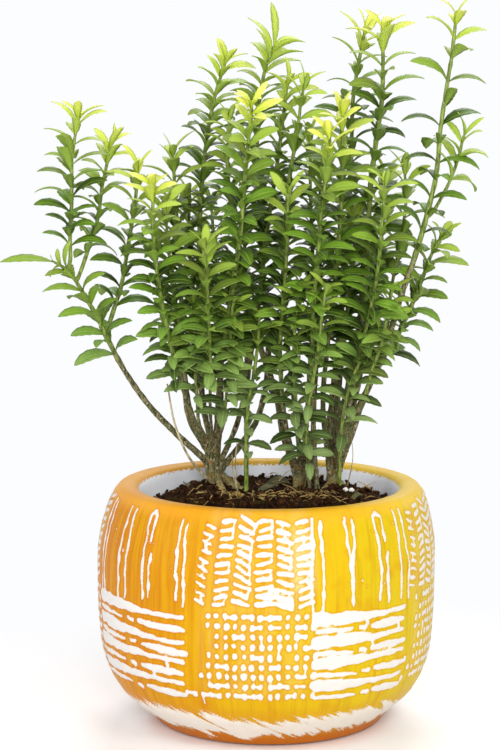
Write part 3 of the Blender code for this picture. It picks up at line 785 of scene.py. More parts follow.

# %% [markdown]
# ## The pot: glaze, slip and bare clay
# The ground is an orange wash that was brushed on upright, so it has upright streaks. It runs from deep
# orange on the left to yellow on the right. That is partly the wash's own change and partly painted light:
# the lit right side is painted yellower and the shaded left side deeper orange. The foot is deeper orange,
# partly its own paint and partly painted shade where it faces down. The slip is a chalky white, and the wash
# pools into a thin darker line along its edges. The `slip` number drives both, and fine noise added to it
# makes the edge ragged below the size of the mesh's own faces. Inside, the clay is bare and rough.

# %% Places on the pot
clay = Finish("painted_clay", roughness=0.5, Specular_IOR_Level=0.1)
place = clay.place
x, y, z = (place.axis(name) for name in "XYZ")
along_wall = x.math("ARCTAN2", y * -1) * (BELLY * MM)
wall_place = x.vector_of(along_wall, z, 0.0)
scraped_place = x.vector_of(along_wall + z * SCRAPE_SLANT, z * 0.3, 0.0)
grain, crumble = noise(place, 900, 3), noise(place, 2600, 2)
from_axis = (x * x + y * y).math("SQRT")
# The wall's inner face lies within the lip, above the floor inside, and between two slanting lines
inside_wall = from_axis.between(75 * MM, 74.8 * MM) * z.between(11.5 * MM, 12 * MM)
inside_wall = inside_wall * (from_axis - z * 0.9).between(55 * MM, 53 * MM)
inside_wall = inside_wall * (from_axis + z * 0.9 + (grain - 0.5) * 0.007).between(182.0 * MM, 181.0 * MM)
print("places and masks:", len(clay.tree.nodes), "nodes")

# %% The brushed orange ground
slip_depth = clay.value("slip")
streak = noise(stretched(wall_place, 1, 0.045, 1), 330, 4, 0.65)
broad = noise(stretched(wall_place, 1, 0.3, 1), 38, 3)
# Deep orange on the left to yellow on the right: partly the wash's own change, and partly painted light that
# makes the lit right side yellower and the shaded left side deeper orange
side = (x + (broad - 0.5) * 0.07).between(-0.09, 0.085)
in_front = (y * -1).between(45 * MM, 72 * MM)
pooled = slip_depth.between(-1.1, -0.35) * (1 - slip_depth.between(-0.3, 0.05))
lip = mixed(in_front * 0.75, mixed(side, "#de9c36", "#e3bd3e"), mixed(side, "#d98a08", "#dba414"))
ground = layered(
    mixed(side, mixed(side * 2, "#be7800", "#c88d02"), "#cabb14"),
    (streak.between(0.4, 0.7) * 0.6, "#d29b08"),  # pale streaks
    (streak.between(0.58, 0.3) * 0.5, "#b96a02"),  # dark streaks
    (noise(wall_place, 60, 2).between(0.5, 0.72) * 0.3, "#bd6c00"),  # blotches
    (z.between(118 * MM, 125 * MM) * 0.75, lip),
    (z.between(28 * MM, 20 * MM) * 0.5, mixed(side, "#c87c04", "#cd9c0c")),  # round the scraped band
    # The foot is deeper orange: partly its own paint and partly painted shade where it faces down
    (z.between(14 * MM, 4 * MM), "#b4640e"),  # the foot
    (clay.value("washed") * 0.62, "#dccb8c"),
    (pooled * 0.45, mixed(side, "#b86402", "#bf8a08")))
print("with the ground:", len(clay.tree.nodes), "nodes")

# %% White slip, bare clay, and all of it together
edge = slip_depth + (grain - 0.5) * 0.8 + (crumble - 0.5) * 0.6
edge = edge + z.between(BAND_ENDS * MM, 23 * MM) * (noise(scraped_place, 700, 5, 0.8) - 0.48) * 14.0
whitened = edge.between(-0.14, 0.26)
chalk = layered(
    mixed(noise(place, 240, 3), "#cfcac4", "#dddad6"),
    (noise(place, 1900, 2).between(0.70, 0.78) * 0.5, "#cba95e"),  # specks
    (z.between(26 * MM, 18 * MM) * 0.2, "#fbeacb"))  # creamier in the scraped band
bare = mixed(noise(place, 120, 4, 0.7), "#e9ebf3", "#fafbff")
bare = mixed(noise(place, 700, 3).between(0.62, 0.72) * 0.3, bare, "#cfcdd4")
under_foot = mixed(noise(place, 300, 4), "#b98a62", "#cfa27a")
body = layered(ground, (whitened, chalk), (inside_wall, bare), (z.between(0.4 * MM, 0.1 * MM), under_foot))
clay.set("Base Color", body)
clay.set("Roughness", whitened * 0.25 + 0.42 + (grain - 0.5) * 0.15 + inside_wall * 0.3)
clay.bump(streak * 0.35 + grain * 0.35 + whitened * 0.2 + crumble * 0.1, 0.55, 0.35 * MM)
pot.data.materials.append(clay.material)
place_piece(pot, "pot", "pot")

# %% [markdown]
# ## Soil
# The soil is dark, crumbly potting mix, heaped round the stems and a little lower at the wall. Its top is a
# disc of rings whose height comes from noise. It is closed underneath, down to the floor of the pot.

# %% Height of the ground, and the soil's mesh
SOIL_TOP, SOIL_EDGE = 121.5, 113.5  # heights in the middle and at the wall
SOIL_RIM = 67.6
SOIL_SIDES, SOIL_RINGS = 180, 56
HEAPS = [(-26, 16, 1.6, 260), (30, 12, 1.4, 300)]  # (x, y, height, spread) under the clumps
UNDER_SOIL = [(66.2, 100), (62.5, 60), (57.4, 24), (51.4, 12.4)]  # radius and height down to the pot's floor


def cloud(seed, x, y, wide):
    """Noise of -1 to 1 over a plan, with lumps about `wide` millimetres across."""
    return smooth_noise(seed, x + 300, y + 300, wide)


def ground_height(x, y):
    """Height of the soil, in millimetres, without its crumbs."""
    r = np.hypot(x, y)
    halfway = (SOIL_TOP + SOIL_EDGE) / 2 + 1
    base = np.interp(r, [0, 40, 54, SOIL_RIM], [SOIL_TOP, SOIL_TOP, halfway, SOIL_EDGE])
    heap = sum(rise * np.exp(-((x - cx) ** 2 + (y - cy) ** 2) / spread) for cx, cy, rise, spread in HEAPS)
    lumps = 1.2 * cloud(31, x, y, 15) + 1.0 * cloud(32, x, y, 6) + 0.5 * cloud(33, x, y, 2.4)
    return base + heap + lumps


soil_turn = np.linspace(0, 2 * math.pi, SOIL_SIDES, endpoint=False)
ring = SOIL_RIM * (np.arange(1, SOIL_RINGS + 1) / SOIL_RINGS) ** 0.8
plan_x, plan_y = np.outer(ring, np.cos(soil_turn)), np.outer(ring, np.sin(soil_turn))
top = np.stack([plan_x, plan_y, ground_height(plan_x, plan_y)], axis=-1)
below = [(r * math.cos(a), r * math.sin(a), z) for r, z in UNDER_SOIL for a in soil_turn]
middles = [(0, 0, float(ground_height(0, 0))), (0, 0, UNDER_SOIL[-1][1])]
points = np.vstack([top.reshape(-1, 3), below, middles])
grid, beside, walls = ring_grid(SOIL_RINGS + len(UNDER_SOIL), SOIL_SIDES)
faces = [(a, d, c, b) for a, b, c, d in walls]
faces += [(len(points) - 2, a, b) for a, b in zip(grid[0], beside[0])]
faces += [(len(points) - 1, b, a) for a, b in zip(grid[-1], beside[-1])]
soil = add_mesh("soil_heap", points, faces=faces)
print("soil heights", round(top[..., 2].min(), 1), "to", round(top[..., 2].max(), 1), "mm")

# %% Finish of the soil
earth = Finish("potting_soil", roughness=0.95, Specular_IOR_Level=0.05)
lump = noise(earth.place, 420, 5, 0.7)
fleck = noise(earth.place, 1300, 2)
earth.set("Base Color", layered(
    mixed(lump.between(0.35, 0.75), "#0a0300", "#311804"),
    (noise(earth.place, 90, 3).between(0.46, 0.66) * 0.5, "#463a12"),  # mossy places
    (fleck.between(0.68, 0.76), "#5d4424")))
earth.bump(lump * 0.7 + fleck * 0.3, 0.9, 1.2 * MM)
soil.data.materials.append(earth.material)
place_piece(soil, "soil", "soil")

# %% [markdown]
# ## Crumbs, chips and fibres on the soil
# Loose bits lie all over the soil. There are hundreds, so Geometry Nodes scatter a few plain forms over its
# top: points are spread on the faces that look upwards, and each point gets one form, turned and sized at
# random from a fixed seed.

# %% Shelves for forms
def shelf(name):
    """A collection for forms that are only copied, so they aren't part of the plant."""
    collection = bpy.data.collections.new(name)
    bpy.context.scene.collection.children.link(collection)
    return collection


def put_on(collection, obj):
    """Moves a form from the scene to its shelf."""
    bpy.context.scene.collection.objects.unlink(obj)
    collection.objects.link(obj)


def empty_shelf(collection):
    """Deletes a shelf and its forms, once they have been copied."""
    for obj in list(collection.objects):
        bpy.data.meshes.remove(obj.data)
    bpy.data.collections.remove(collection)


crumbs, fibres = shelf("crumb_forms"), shelf("fibre_forms")
print("shelves:", crumbs.name, "and", fibres.name)


# %% Lumps and tubes
def rounded_lump(name, subdivisions, moved, **look):
    """A round lump of 1 mm radius whose points all go where `moved` says."""
    bm = bmesh.new()
    bmesh.ops.create_icosphere(bm, subdivisions=subdivisions, radius=1)
    points = [moved(v.co) for v in bm.verts]
    faces = [[v.index for v in f.verts] for f in bm.faces]
    bm.free()
    return add_mesh(name, points, faces=faces, **look)


def tube_mesh(points, radii, sides):
    """Points and faces of a closed tube with a ring at each point."""
    points = np.asarray(points, float)
    along = np.gradient(points, axis=0)
    along /= np.linalg.norm(along, axis=1)[:, None]
    side = np.array([0.13, 0.31, 0.94])  # any direction that no tube here takes exactly
    verts = []
    for p, radius, t in zip(points, radii, along):
        side = side - t * side.dot(t)
        side /= np.linalg.norm(side)
        front = np.cross(t, side)
        for k in range(sides):
            a = 2 * math.pi * k / sides
            verts.append(p + radius * (math.cos(a) * side + math.sin(a) * front))
    ends = [tuple(range(sides))[::-1], tuple(range(len(verts) - sides, len(verts)))]
    return verts, ends + ring_grid(len(points), sides)[2]


def tubes(name, paths, sides, material=None):
    """One mesh of several closed tubes; each path is (points, radii)."""
    verts, faces = [], []
    for points, radii in paths:
        new_verts, new_faces = tube_mesh(points, radii, sides)
        faces += [tuple(i + len(verts) for i in face) for face in new_faces]
        verts += new_verts
    return add_mesh(name, verts, faces=faces, material=material)


print("a closed tube with 4 sides and 6 rings has", len(ring_grid(6, 4)[2]) + 2, "faces")

# %% Forms to scatter
# How each form of crumb is stretched or squashed
CRUMBS = [(1, 0.9, 0.7), (1.2, 0.8, 0.8), (0.8, 1, 1), (1.7, 0.8, 0.4), (1.3, 1.1, 0.5)]
FIBRE_BENDS = [0.5, -0.9, 1.4]
FIBRE_RADII = [0.012, 0.024, 0.028, 0.026, 0.02, 0.01]


def crumb_form(name, squash):
    """An angular lump about 1 mm across."""
    def broken(co):
        """A point of the round form, squashed and moved in or out."""
        return Vector([c / 2 * rng.uniform(0.7, 1.25) * s for c, s in zip(co, squash)])

    return rounded_lump(name, 1, broken, smooth=False)


def fibre_form(name, bend):
    """A bent fibre 1 mm long."""
    t = np.linspace(-0.5, 0.5, len(FIBRE_RADII))
    sway = rng.uniform(-0.04, 0.04, len(t))
    path = np.column_stack([t, bend * (0.25 - t * t) + sway, 0.25 * (0.25 - t * t)])
    return tubes(name, [(path, FIBRE_RADII)], 4)


for k, squash in enumerate(CRUMBS):
    put_on(crumbs, crumb_form(f"crumb_{k}", squash))
for k, bend in enumerate(FIBRE_BENDS):
    put_on(fibres, fibre_form(f"fibre_{k}", bend))

# %% A tree that scatters them
scatter, put = geometry_tree("Scatter on top", {
    "Forms": "collection", "Per square metre": 90000.0, "Smallest": 0.7 * MM, "Largest": 4.2 * MM,
    "Tumble": 3.14, "Seed": 1, "Material": "material"})
ground = put["Geometry"]
upward = ground.node("GeometryNodeInputNormal").axis("Z")
spots = ground.node("GeometryNodeDistributePointsOnFaces", {}, {
    "Mesh": ground, "Selection": upward.math("GREATER_THAN", 0.6), "Density": put["Per square metre"],
    "Seed": put["Seed"]})
chance = ground.node("FunctionNodeRandomValue", {}, {"Seed": put["Seed"]}, 1)
size = put["Smallest"] + (put["Largest"] - put["Smallest"]) * chance ** 4  # small ones are far more common
tumble = put["Tumble"]
spin = ground.node("FunctionNodeRandomValue", {"data_type": "FLOAT_VECTOR"}, {
    0: ground.vector_of(tumble * -1, tumble * -1, -math.pi), 1: ground.vector_of(tumble, tumble, math.pi),
    "Seed": put["Seed"] + 5})
form = ground.node("GeometryNodeCollectionInfo", {}, {
    "Collection": put["Forms"], "Separate Children": True, "Reset Children": True})
placed = spots.node("GeometryNodeInstanceOnPoints", {}, {
    "Points": spots, "Instance": form, "Pick Instance": True, "Rotation": spin, "Scale": size / MM})
raised = placed.node("GeometryNodeTranslateInstances", {}, {
    "Instances": placed, "Translation": ground.vector_of(z=size * 0.25), "Local Space": False})
finish_tree(raised, put["Material"])
print("scatter tree:", len(scatter.nodes), "nodes")


def scattered(name, source, **settings):
    """A new piece: what the tree scatters on a copy of the source."""
    obj = bpy.data.objects.new(name, source.data.copy())
    bpy.context.scene.collection.objects.link(obj)
    return made_plain(with_tree(scatter, obj, **settings))


# %% Crumbs
grit = Finish("soil_crumbs", roughness=0.95, Specular_IOR_Level=0.15)
tone = noise(grit.place, 260, 2)
rough_tone = noise(grit.place, 900, 3)
shade = mixed(tone.between(0.35, 0.65), "#0f0502", "#361c0a")
grit.set("Base Color", mixed(rough_tone.between(0.56, 0.74) * 0.7, shade, "#6a4a20"))
grit.bump(rough_tone, 0.6, 0.4 * MM)
fine = scattered("soil_crumbs", soil, Forms=crumbs, Per_square_metre=150000.0, Seed=3, Material=grit.material)
place_piece(fine, "soil")

# %% Bark chips and pale fibres
chip = Finish("bark_chips", roughness=0.9, Specular_IOR_Level=0.2)
chip.set("Base Color", mixed(noise(chip.place, 300, 3).between(0.35, 0.65), "#2f1b0a", "#6a4824"))
chip.bump(noise(stretched(chip.place, 1, 1, 4), 700, 3), 0.5, 0.3 * MM)
chips = scattered("bark_chips", soil, Forms=crumbs, Per_square_metre=8000.0, Smallest=0.9 * MM,
                  Largest=3.4 * MM, Seed=8, Material=chip.material)
place_piece(chips, "soil")

straw = Finish("pale_fibres", roughness=0.8)
straw.set("Base Color", mixed(noise(straw.place, 200, 2).between(0.3, 0.7), "#86683a", "#d0b26f"))
fibre_bits = scattered("root_fibres", soil, Forms=fibres, Per_square_metre=10000.0, Smallest=2.5 * MM,
                       Largest=11.0 * MM, Tumble=0.5, Seed=21, Material=straw.material)
place_piece(fibre_bits, "root")
empty_shelf(crumbs)
empty_shelf(fibres)

# %% [markdown]
# ## The routes of the canes
# Every cane and side shoot has its own route, a few points from base to tip that follow the plain solids. The
# rest is shared: a cane that stands on a crown begins inside it, one that stands in the soil begins under the
# soil, and a side shoot begins on the nearest cane.

# %% Routes of the left clump
# Lengths and points are in millimetres. `leafy_from` is the height of the lowest leaves, and `turn` the first
# pair's direction in degrees. `tip_size` is the smallest leaf against the largest, and `tip_glow` how yellow
# the growing tip is, together with how brightly it is painted as if lit from behind. The points run from base
# to tip.
Shoot = namedtuple("Shoot", "thickness pair_distance leafy_from turn leaf_length tip_size tip_glow points")

LEFT_CLUMP = {
    "left_arch_cane": (4.4, 9, 188, -10, 21.0, 0.4, 0.05, [
        (-38, 19, 134), (-48, 15, 149), (-63, 8, 166), (-73, 2, 181), (-81, -4, 196), (-89, -8, 214),
        (-96, -10, 227), (-102, -12, 237.5), (-107, -13, 243), (-112, -14, 246)]),
    "far_left_shoot": (2.6, 6.5, 250, 0, 20.5, 0.75, 0.55, [
        (-104, -9, 247), (-104, -9, 260), (-103, -8, 278), (-103, -4, 299), (-101, -2, 313), (-99, 0, 322)]),
    "left_inner_shoot": (2.6, 7, 245, 30, 20.5, 0.75, 0.5, [
        (-99, -7, 240), (-94, -2, 255), (-90, 4, 269), (-88, 8, 285), (-85, 12, 299), (-84, 14, 306)]),
    "left_rising_shoot": (3.0, 8, 216, 10, 20.5, 0.75, 0.5, [
        (-85, -1, 210), (-82, 3, 220), (-78, 5, 233), (-74, 6, 256), (-71, 8, 274), (-69, 9, 294)]),
    "left_back_cane": (3.6, 7, 188, 15, 20.0, 0.75, 0.08, [
        (-36, 25, 138), (-43, 30, 156), (-46, 32, 178), (-47, 34, 205), (-48, 36, 240), (-50, 37, 272),
        (-52, 38, 301)]),
    "left_front_cane": (3.6, 5.5, 180, 0, 19.0, 0.75, 0.75, [
        (-33, 18, 143), (-38, 10, 154), (-43, 0, 170), (-48, -9, 188), (-53, -16, 210), (-57, -20, 232),
        (-60, -22, 260), (-60, -22, 286)]),
    "tall_left_cane": (4.0, 6, 196, 40, 21.0, 0.75, 0.5, [
        (-30, 23, 143), (-35, 30, 160), (-38, 38, 193), (-38, 42, 231), (-37, 45, 272), (-34, 47, 305),
        (-29, 48, 331), (-23, 48, 350)]),
    "front_middle_cane": (4.0, 5.5, 180, 35, 20.0, 0.75, 1.0, [
        (-27, 18, 143), (-27, 6, 168), (-25, -4, 193), (-22, -10, 215), (-18, -14, 239), (-15, -17, 262),
        (-13, -19, 286), (-11, -20, 307), (-9, -21, 328)]),
    "middle_back_cane": (3.6, 6.5, 196, 25, 20.0, 0.75, 0.4, [
        (-21, 22, 134), (-18, 25, 152), (-13, 28, 170), (-9, 30, 195), (-5, 32, 223), (-2, 33, 250),
        (2, 33, 278), (6, 33, 305), (10, 32, 338)]),
    "tallest_middle_cane": (4.2, 6.5, 205, 48, 22.0, 1.0, 0.3, [
        (-23, 27, 128), (-14, 34, 143), (-6, 40, 155), (-1, 46, 174), (0, 52, 198), (-3, 57, 237),
        (-5, 59, 276), (-6, 60, 312), (-3, 60, 340), (3, 60, 358)]),
    "left_slender_shoot": (2.2, 7, 176, 0, 20.0, 0.75, 0.08, [
        (-31, 15, 145), (-31, 3, 162), (-31, -8, 181), (-31, -18, 206), (-32, -24, 228), (-33, -29, 256)]),
    "left_low_shoot": (2.8, 6.5, 182, 45, 20.0, 0.75, 0.08, [
        (-35, 16, 138), (-41, 11, 160), (-45, 8, 187), (-48, 6, 213), (-52, 5, 240), (-55, 6, 275)]),
    "left_short_shoot": (2.4, 6, 168, 30, 20.0, 0.75, 0.08, [
        (-34, 16, 143), (-37, 7, 157), (-38, -2, 172), (-39, -7, 195), (-39, -9, 212), (-39, -9, 226)]),
    "back_left_cane": (3.2, 7, 195, 20, 20.0, 0.75, 0.08, [
        (-32, 29, 134), (-34, 36, 155), (-38, 44, 186), (-41, 50, 220), (-43, 54, 252), (-44, 56, 278)]),
    "rear_left_cane": (3.4, 7, 190, 50, 20.0, 0.75, 0.08, [
        (-26, 29, 132), (-26, 40, 158), (-26, 54, 186), (-27, 68, 216), (-30, 80, 246), (-32, 88, 272)]),
    "rear_middle_cane": (3.2, 7, 188, 15, 20.0, 0.75, 0.08, [
        (-12, 34, 123), (-12, 44, 150), (-12, 56, 184), (-12, 66, 218), (-13, 72, 250), (-13, 75, 280)]),
    "small_middle_shoot": (2.2, 7, 158, 10, 16.5, 0.75, 0.08, [
        (-26, 15, 145), (-24, 5, 158), (-23, -3, 170), (-21, -10, 190), (-20, -15, 210), (-19, -18, 225)]),
    "seedling": (2.8, 11, 132, 0, 17.0, 0.75, 0.12, [
        (-12, 8, 123), (-12, 3, 149), (-11, -2, 169), (-8, -6, 186), (-6, -9, 202), (-5, -10, 219)]),
}
print("left clump:", len(LEFT_CLUMP), "shoots")

# %% Routes of the middle clump
MIDDLE_CLUMP = {
    "middle_slender_cane": (3.6, 8, 192, 0, 20.0, 0.75, 0.08, [
        (19, 22, 130), (15, 22, 157), (12, 24, 184), (9, 26, 211), (8, 27, 238), (9, 26, 265),
        (11, 25, 287), (15, 24, 311), (17, 22, 327), (19, 22, 338)]),
    "middle_leaning_cane": (4.4, 7, 190, 20, 20.0, 0.75, 0.08, [
        (11, 15, 131), (8, 12, 150), (4, 10, 173), (-3, 8, 194), (-9, 10, 216), (-15, 14, 240),
        (-19, 19, 266), (-22, 23, 292), (-21, 25, 320)]),
    "middle_front_shoot": (3.2, 7, 160, 35, 20.0, 0.75, 0.08, [
        (14, 10, 130), (9, 4, 158), (6, -2, 192), (7, -6, 220), (9, -8, 247), (10, -9, 282)]),
    "middle_low_shoot": (2.6, 7, 140, 0, 16.0, 0.75, 0.08, [
        (18, 10, 128), (15, -2, 160), (13, -10, 194), (14, -14, 216), (16, -16, 234)]),
    "middle_slender_shoot": (2.4, 9, 132, 0, 15.5, 0.75, 0.08, [
        (22, 4, 123), (20, -10, 160), (23, -19, 185), (26, -25, 204), (27, -28, 217), (29, -30, 234)]),
    "rear_centre_cane": (3.4, 7, 192, 10, 20.0, 0.75, 0.08, [
        (22, 19, 132), (21, 30, 158), (23, 38, 188), (25, 44, 220), (24, 48, 252), (23, 50, 282),
        (23, 50, 308)]),
    "rear_centre_tall_cane": (3.4, 7, 192, 30, 20.0, 0.75, 0.08, [
        (24, 34, 123), (25, 46, 152), (27, 56, 186), (29, 64, 222), (29, 69, 256), (29, 71, 290)]),
}
print("middle clump:", len(MIDDLE_CLUMP), "shoots")

# %% Routes of the right clump
RIGHT_CLUMP = {
    "right_back_tall_cane": (4.2, 7.8, 215, 0, 21.5, 0.8, 0.9, [
        (30, 20, 132), (33, 27, 150), (36, 33, 178), (39, 37, 205), (42, 40, 237), (44, 42, 270),
        (45, 43, 302), (46, 44, 332), (52, 44, 367)]),
    "right_main_cane": (5.0, 8.2, 216, 10, 22.0, 0.8, 0.8, [
        (36, 13, 145), (40, 10, 165), (44, 10, 183), (48, 12, 205), (51, 14, 229), (53, 16, 255),
        (54, 17, 282), (57, 17, 308), (60, 16, 332), (60, 15, 367)]),
    "right_yellow_cane": (3.6, 6.5, 188, 0, 20.0, 0.75, 1.0, [
        (29, 10, 132), (29, 6, 168), (31, 2, 198), (34, 0, 225), (36, -2, 251), (38, -4, 278),
        (38, -5, 304), (38, -6, 324)]),
    "right_front_cane": (3.4, 5.5, 186, 5, 20.0, 0.75, 0.95, [
        (26, 5, 123), (24, -2, 150), (23, -10, 190), (23, -15, 221), (25, -19, 248), (27, -22, 274),
        (30, -24, 297), (31, -25, 312)]),
    "right_slender_cane": (4.4, 14.5, 235, 10, 22.0, 0.65, 0.7, [
        (41, 9, 134), (45, 3, 160), (53, -3, 179), (62, -7, 202), (69, -9, 227), (76, -10, 248),
        (82, -9, 269), (87, -8, 291), (89, -7, 314), (92, -6, 335), (95, -5, 355), (97, -4, 374)]),
    "right_side_shoot": (2.4, 10, 278, 40, 22.0, 0.75, 0.08, [
        (86, -6, 272), (94, -2, 286), (99, 0, 299), (102, 2, 311)]),
    "right_inner_cane": (3.6, 7, 196, 30, 20.0, 0.75, 0.08, [
        (39, 19, 139), (44, 24, 155), (50, 30, 180), (55, 35, 205), (59, 38, 232), (62, 41, 260),
        (63, 43, 288)]),
    "right_thin_shoot": (2.2, 11, 227, 0, 20.0, 0.75, 0.08, [
        (62, -4, 205), (65, 5, 230), (70, 12, 255), (73, 15, 276), (72, 16, 294)]),
    "right_front_shoot": (2.8, 6, 168, 0, 20.0, 0.75, 0.08, [
        (36, 6, 130), (40, 2, 152), (44, -3, 174), (48, -10, 199), (53, -16, 222), (56, -20, 240),
        (58, -22, 264), (59, -21, 278), (60, -20, 288)]),
    "outer_right_cane": (4.0, 6.5, 190, 0, 20.0, 0.75, 0.08, [
        (42, 15, 132), (45, 17, 150), (51, 17, 168), (59, 15, 187), (68, 12, 203), (75, 10, 218),
        (81, 8, 234), (86, 6, 248), (91, 5, 258)]),
    "green_sucker": (2.4, 10, 142, 0, 17.5, 1.0, 0.08, [
        (38, 4, 123), (38, -2, 147), (40, -6, 168), (45, -10, 187), (53, -12, 202), (58, -12, 208)]),
    "right_mid_shoot": (3.0, 7, 188, 45, 20.0, 0.75, 0.08, [
        (35, 20, 137), (37, 22, 160), (40, 24, 190), (43, 25, 222), (46, 25, 250), (45, 24, 270)]),
    "rear_right_cane": (3.4, 7, 184, 10, 20.0, 0.75, 0.08, [
        (40, 21, 130), (44, 32, 152), (49, 44, 180), (54, 54, 208), (57, 61, 234), (58, 66, 258)]),
    "right_low_shoot": (2.2, 6.5, 186, 30, 16.5, 0.75, 0.08, [
        (51, -5, 175), (54, -10, 188), (58, -13, 200), (61, -15, 214), (64, -15, 231)]),
    "rear_right_leaning_cane": (3.6, 7, 186, 35, 20.0, 0.75, 0.08, [
        (33, 23, 128), (36, 36, 152), (40, 52, 180), (44, 66, 208), (48, 78, 236), (50, 86, 262)]),
}
SHOOTS = {name: Shoot(*row) for name, row in (LEFT_CLUMP | MIDDLE_CLUMP | RIGHT_CLUMP).items()}
print("right clump:", len(RIGHT_CLUMP), "shoots, and", len(SHOOTS), "in all")

# %% Where each shoot begins
CROWN_AXES = {"left_crown": (-29.5, 20), "middle_crown": (17, 16), "right_crown": (35.5, 14)}
DRAWN_IN, FOOT_DRAWN_IN = 0.42, 0.3  # how near to its crown's axis a cane begins, against the plain solids
FOOT_DROP = 11  # how far down in the crown its foot lies
ON_CROWN = (127, 150)  # a shoot that begins between these heights stands on a crown, and a lower one in soil
IN_SOIL = 116  # height where a shoot out of the soil begins
ROUTE_STEP = 2.5


def crown_below(name):
    """The crown that a cane stands on, or None."""
    x, y, z = SHOOTS[name].points[0]
    nearest = min(CROWN_AXES, key=lambda c: math.hypot(CROWN_AXES[c][0] - x, CROWN_AXES[c][1] - y))
    return nearest if ON_CROWN[0] < z < ON_CROWN[1] else None


def well_started(name, lines):
    """The shoot's smooth route, begun inside whatever it grows from."""
    points = list(SHOOTS[name].points)
    x, y, z = points[0]
    if crown_below(name):
        cx, cy = CROWN_AXES[crown_below(name)]
        points[0] = (cx + DRAWN_IN * (x - cx), cy + DRAWN_IN * (y - cy), z)
        start = (cx + FOOT_DRAWN_IN * (x - cx), cy + FOOT_DRAWN_IN * (y - cy), z - FOOT_DROP)
    elif z < ON_CROWN[0]:
        start = (x, y, IN_SOIL)
    else:
        canes = [other for other in lines if other != name and SHOOTS[other].points[0][2] < ON_CROWN[1]]
        others = np.vstack([lines[cane] for cane in canes])
        start = others[np.argmin(np.linalg.norm(others - (x, y, z - 3), axis=1))]
    return smooth_curve([start] + points, ROUTE_STEP)


def distances(line):
    """How far along a line each of its points lies."""
    return np.concatenate([[0], np.cumsum(np.linalg.norm(np.diff(line, axis=0), axis=1))])


plain_lines = {name: smooth_curve(shoot.points, ROUTE_STEP) for name, shoot in SHOOTS.items()}
lines = {name: well_started(name, plain_lines) for name in SHOOTS}
stem_length = sum(distances(line)[-1] for line in lines.values()) / 1000
print("shoots:", len(lines), "- stem length", round(stem_length, 1), "m")

# %% [markdown]
# ## Woody crowns
# Each clump rises from a woody crown, where several old stems have grown together and roots run out over the
# soil. One tube can't show that. So a crown starts as a bundle of plain tubes, which a voxel remesh melts
# into one closed skin, as wood does when strands fuse. Smoothing rounds the joins, and then fissured bark is
# pushed into the skin itself.

# %% A bundle of tubes, melted together
from mathutils import noise as cloud_noise

VOXEL = 0.55 * MM
BARK_RELIEF = 0.4


def fused(name, strands, material):
    """One skin round several strands; each is a list of (x, y, z, radius) in millimetres."""
    curves = [smooth_curve(strand, 1.5) for strand in strands]
    bundle = tubes(name, [(line[:, :3], line[:, 3]) for line in curves], 12, material)
    melt = bundle.modifiers.new("melt", "REMESH")
    melt.mode, melt.voxel_size, melt.use_smooth_shade = "VOXEL", VOXEL, True
    soften = bundle.modifiers.new("soften", "SMOOTH")
    soften.factor, soften.iterations = 0.5, 4
    return made_plain(bundle)


def push_bark(obj, relief):
    """Raises and sinks the skin: short fissures up the stem, and warts and old leaf scars between them."""
    count = len(obj.data.vertices)
    points, normals = np.empty(count * 3), np.empty(count * 3)
    obj.data.vertices.foreach_get("co", points)
    obj.data.vertex_normals.foreach_get("vector", normals)
    points, normals = points.reshape(-1, 3) / MM, normals.reshape(-1, 3)
    depth = []
    for x, y, z in points:
        fissure = abs(cloud_noise.noise((x * 0.5, y * 0.5, z * 0.2)))
        wart = cloud_noise.noise((x * 0.75 + 40, y * 0.75, z * 0.75))
        scar = max(0.0, cloud_noise.noise((x * 0.22, y * 0.22 + 70, z * 0.9)))
        depth.append(relief * (0.5 - 1.8 * fissure + 0.9 * wart + 0.8 * scar))
    moved = points + normals * np.array(depth)[:, None]
    obj.data.vertices.foreach_set("co", (moved * MM).ravel())
    obj.data.update()
    print(obj.name, "bark from", round(min(depth), 2), "to", round(max(depth), 2), "mm")


# %% Bark
bark = Finish("grey_bark", roughness=0.85, Specular_IOR_Level=0.25)
grain = noise(stretched(bark.place, 1, 1, 0.3), 900, 4, 0.65)
patch = noise(bark.place, 210, 3)
crust = noise(bark.place, 700, 3, 0.6)
bark.set("Base Color", layered(
    mixed(grain.between(0.36, 0.64), "#211e0f", "#857c55"),
    (patch.between(0.46, 0.66) * 0.75, "#565c30"),  # green algae
    (crust.between(0.57, 0.68) * 0.85, "#b9b28f"),  # pale lichen
    (noise(bark.place, 330, 2).between(0.58, 0.68) * 0.7, "#8f5c2e"),  # where bark has flaked off
    (bark.place.axis("Z").between(131 * MM, 121 * MM) * 0.6,  # golden near the roots
     mixed(patch.between(0.3, 0.7), "#756a34", "#b7a064"))))
bark.bump(grain * 0.6 + crust * 0.4, 0.8, 0.5 * MM)

# %% The three crowns
SLIMMER = 0.85  # stems, against the plain solids
# Each strand is a list of (x, y, z, radius), all in millimetres
TRUNKS = {
    "left_crown": [
        [(-29.5, 20, 116, 4.2), (-30, 19, 124, 3.6), (-30.5, 18.5, 133, 3.4), (-32, 18, 142, 2.4)]],
    "middle_crown": [[(17, 16, 116, 2.6), (17, 16.5, 127, 2.2), (18, 19, 134, 1.6)]],
    "right_crown": [
        [(35.5, 13.5, 116, 3.6), (35.5, 13.5, 128, 3.3), (36, 13, 140, 3.1), (38.5, 11.5, 152, 2.4)]],
}
RUNNING_ROOTS = {
    "left_crown": [
        [(-28, 15, 129, 1.8), (-26, 9, 123.5, 1.8), (-23, 1, 120.8, 1.4), (-19, -9, 119.4, 0.8)],
        [(-25, 17, 128, 2.0), (-20, 14, 123, 2.0), (-12, 10, 120.8, 1.5), (-5, 4, 119.4, 0.9)],
        [(-24, 20, 126, 2.0), (-16, 19, 121.5, 1.4)]],
    "middle_crown": [[(16, 14, 125, 1.7), (14, 9, 121.5, 1.5), (10, 2, 119.4, 0.9)]],
    "right_crown": [
        [(34, 11, 126, 1.8), (30, 6, 122, 1.6), (26, -1, 119.6, 0.9)],
        [(38, 12, 125, 1.7), (42, 9, 121.5, 1.5), (47, 5, 119.4, 0.9)]],
}


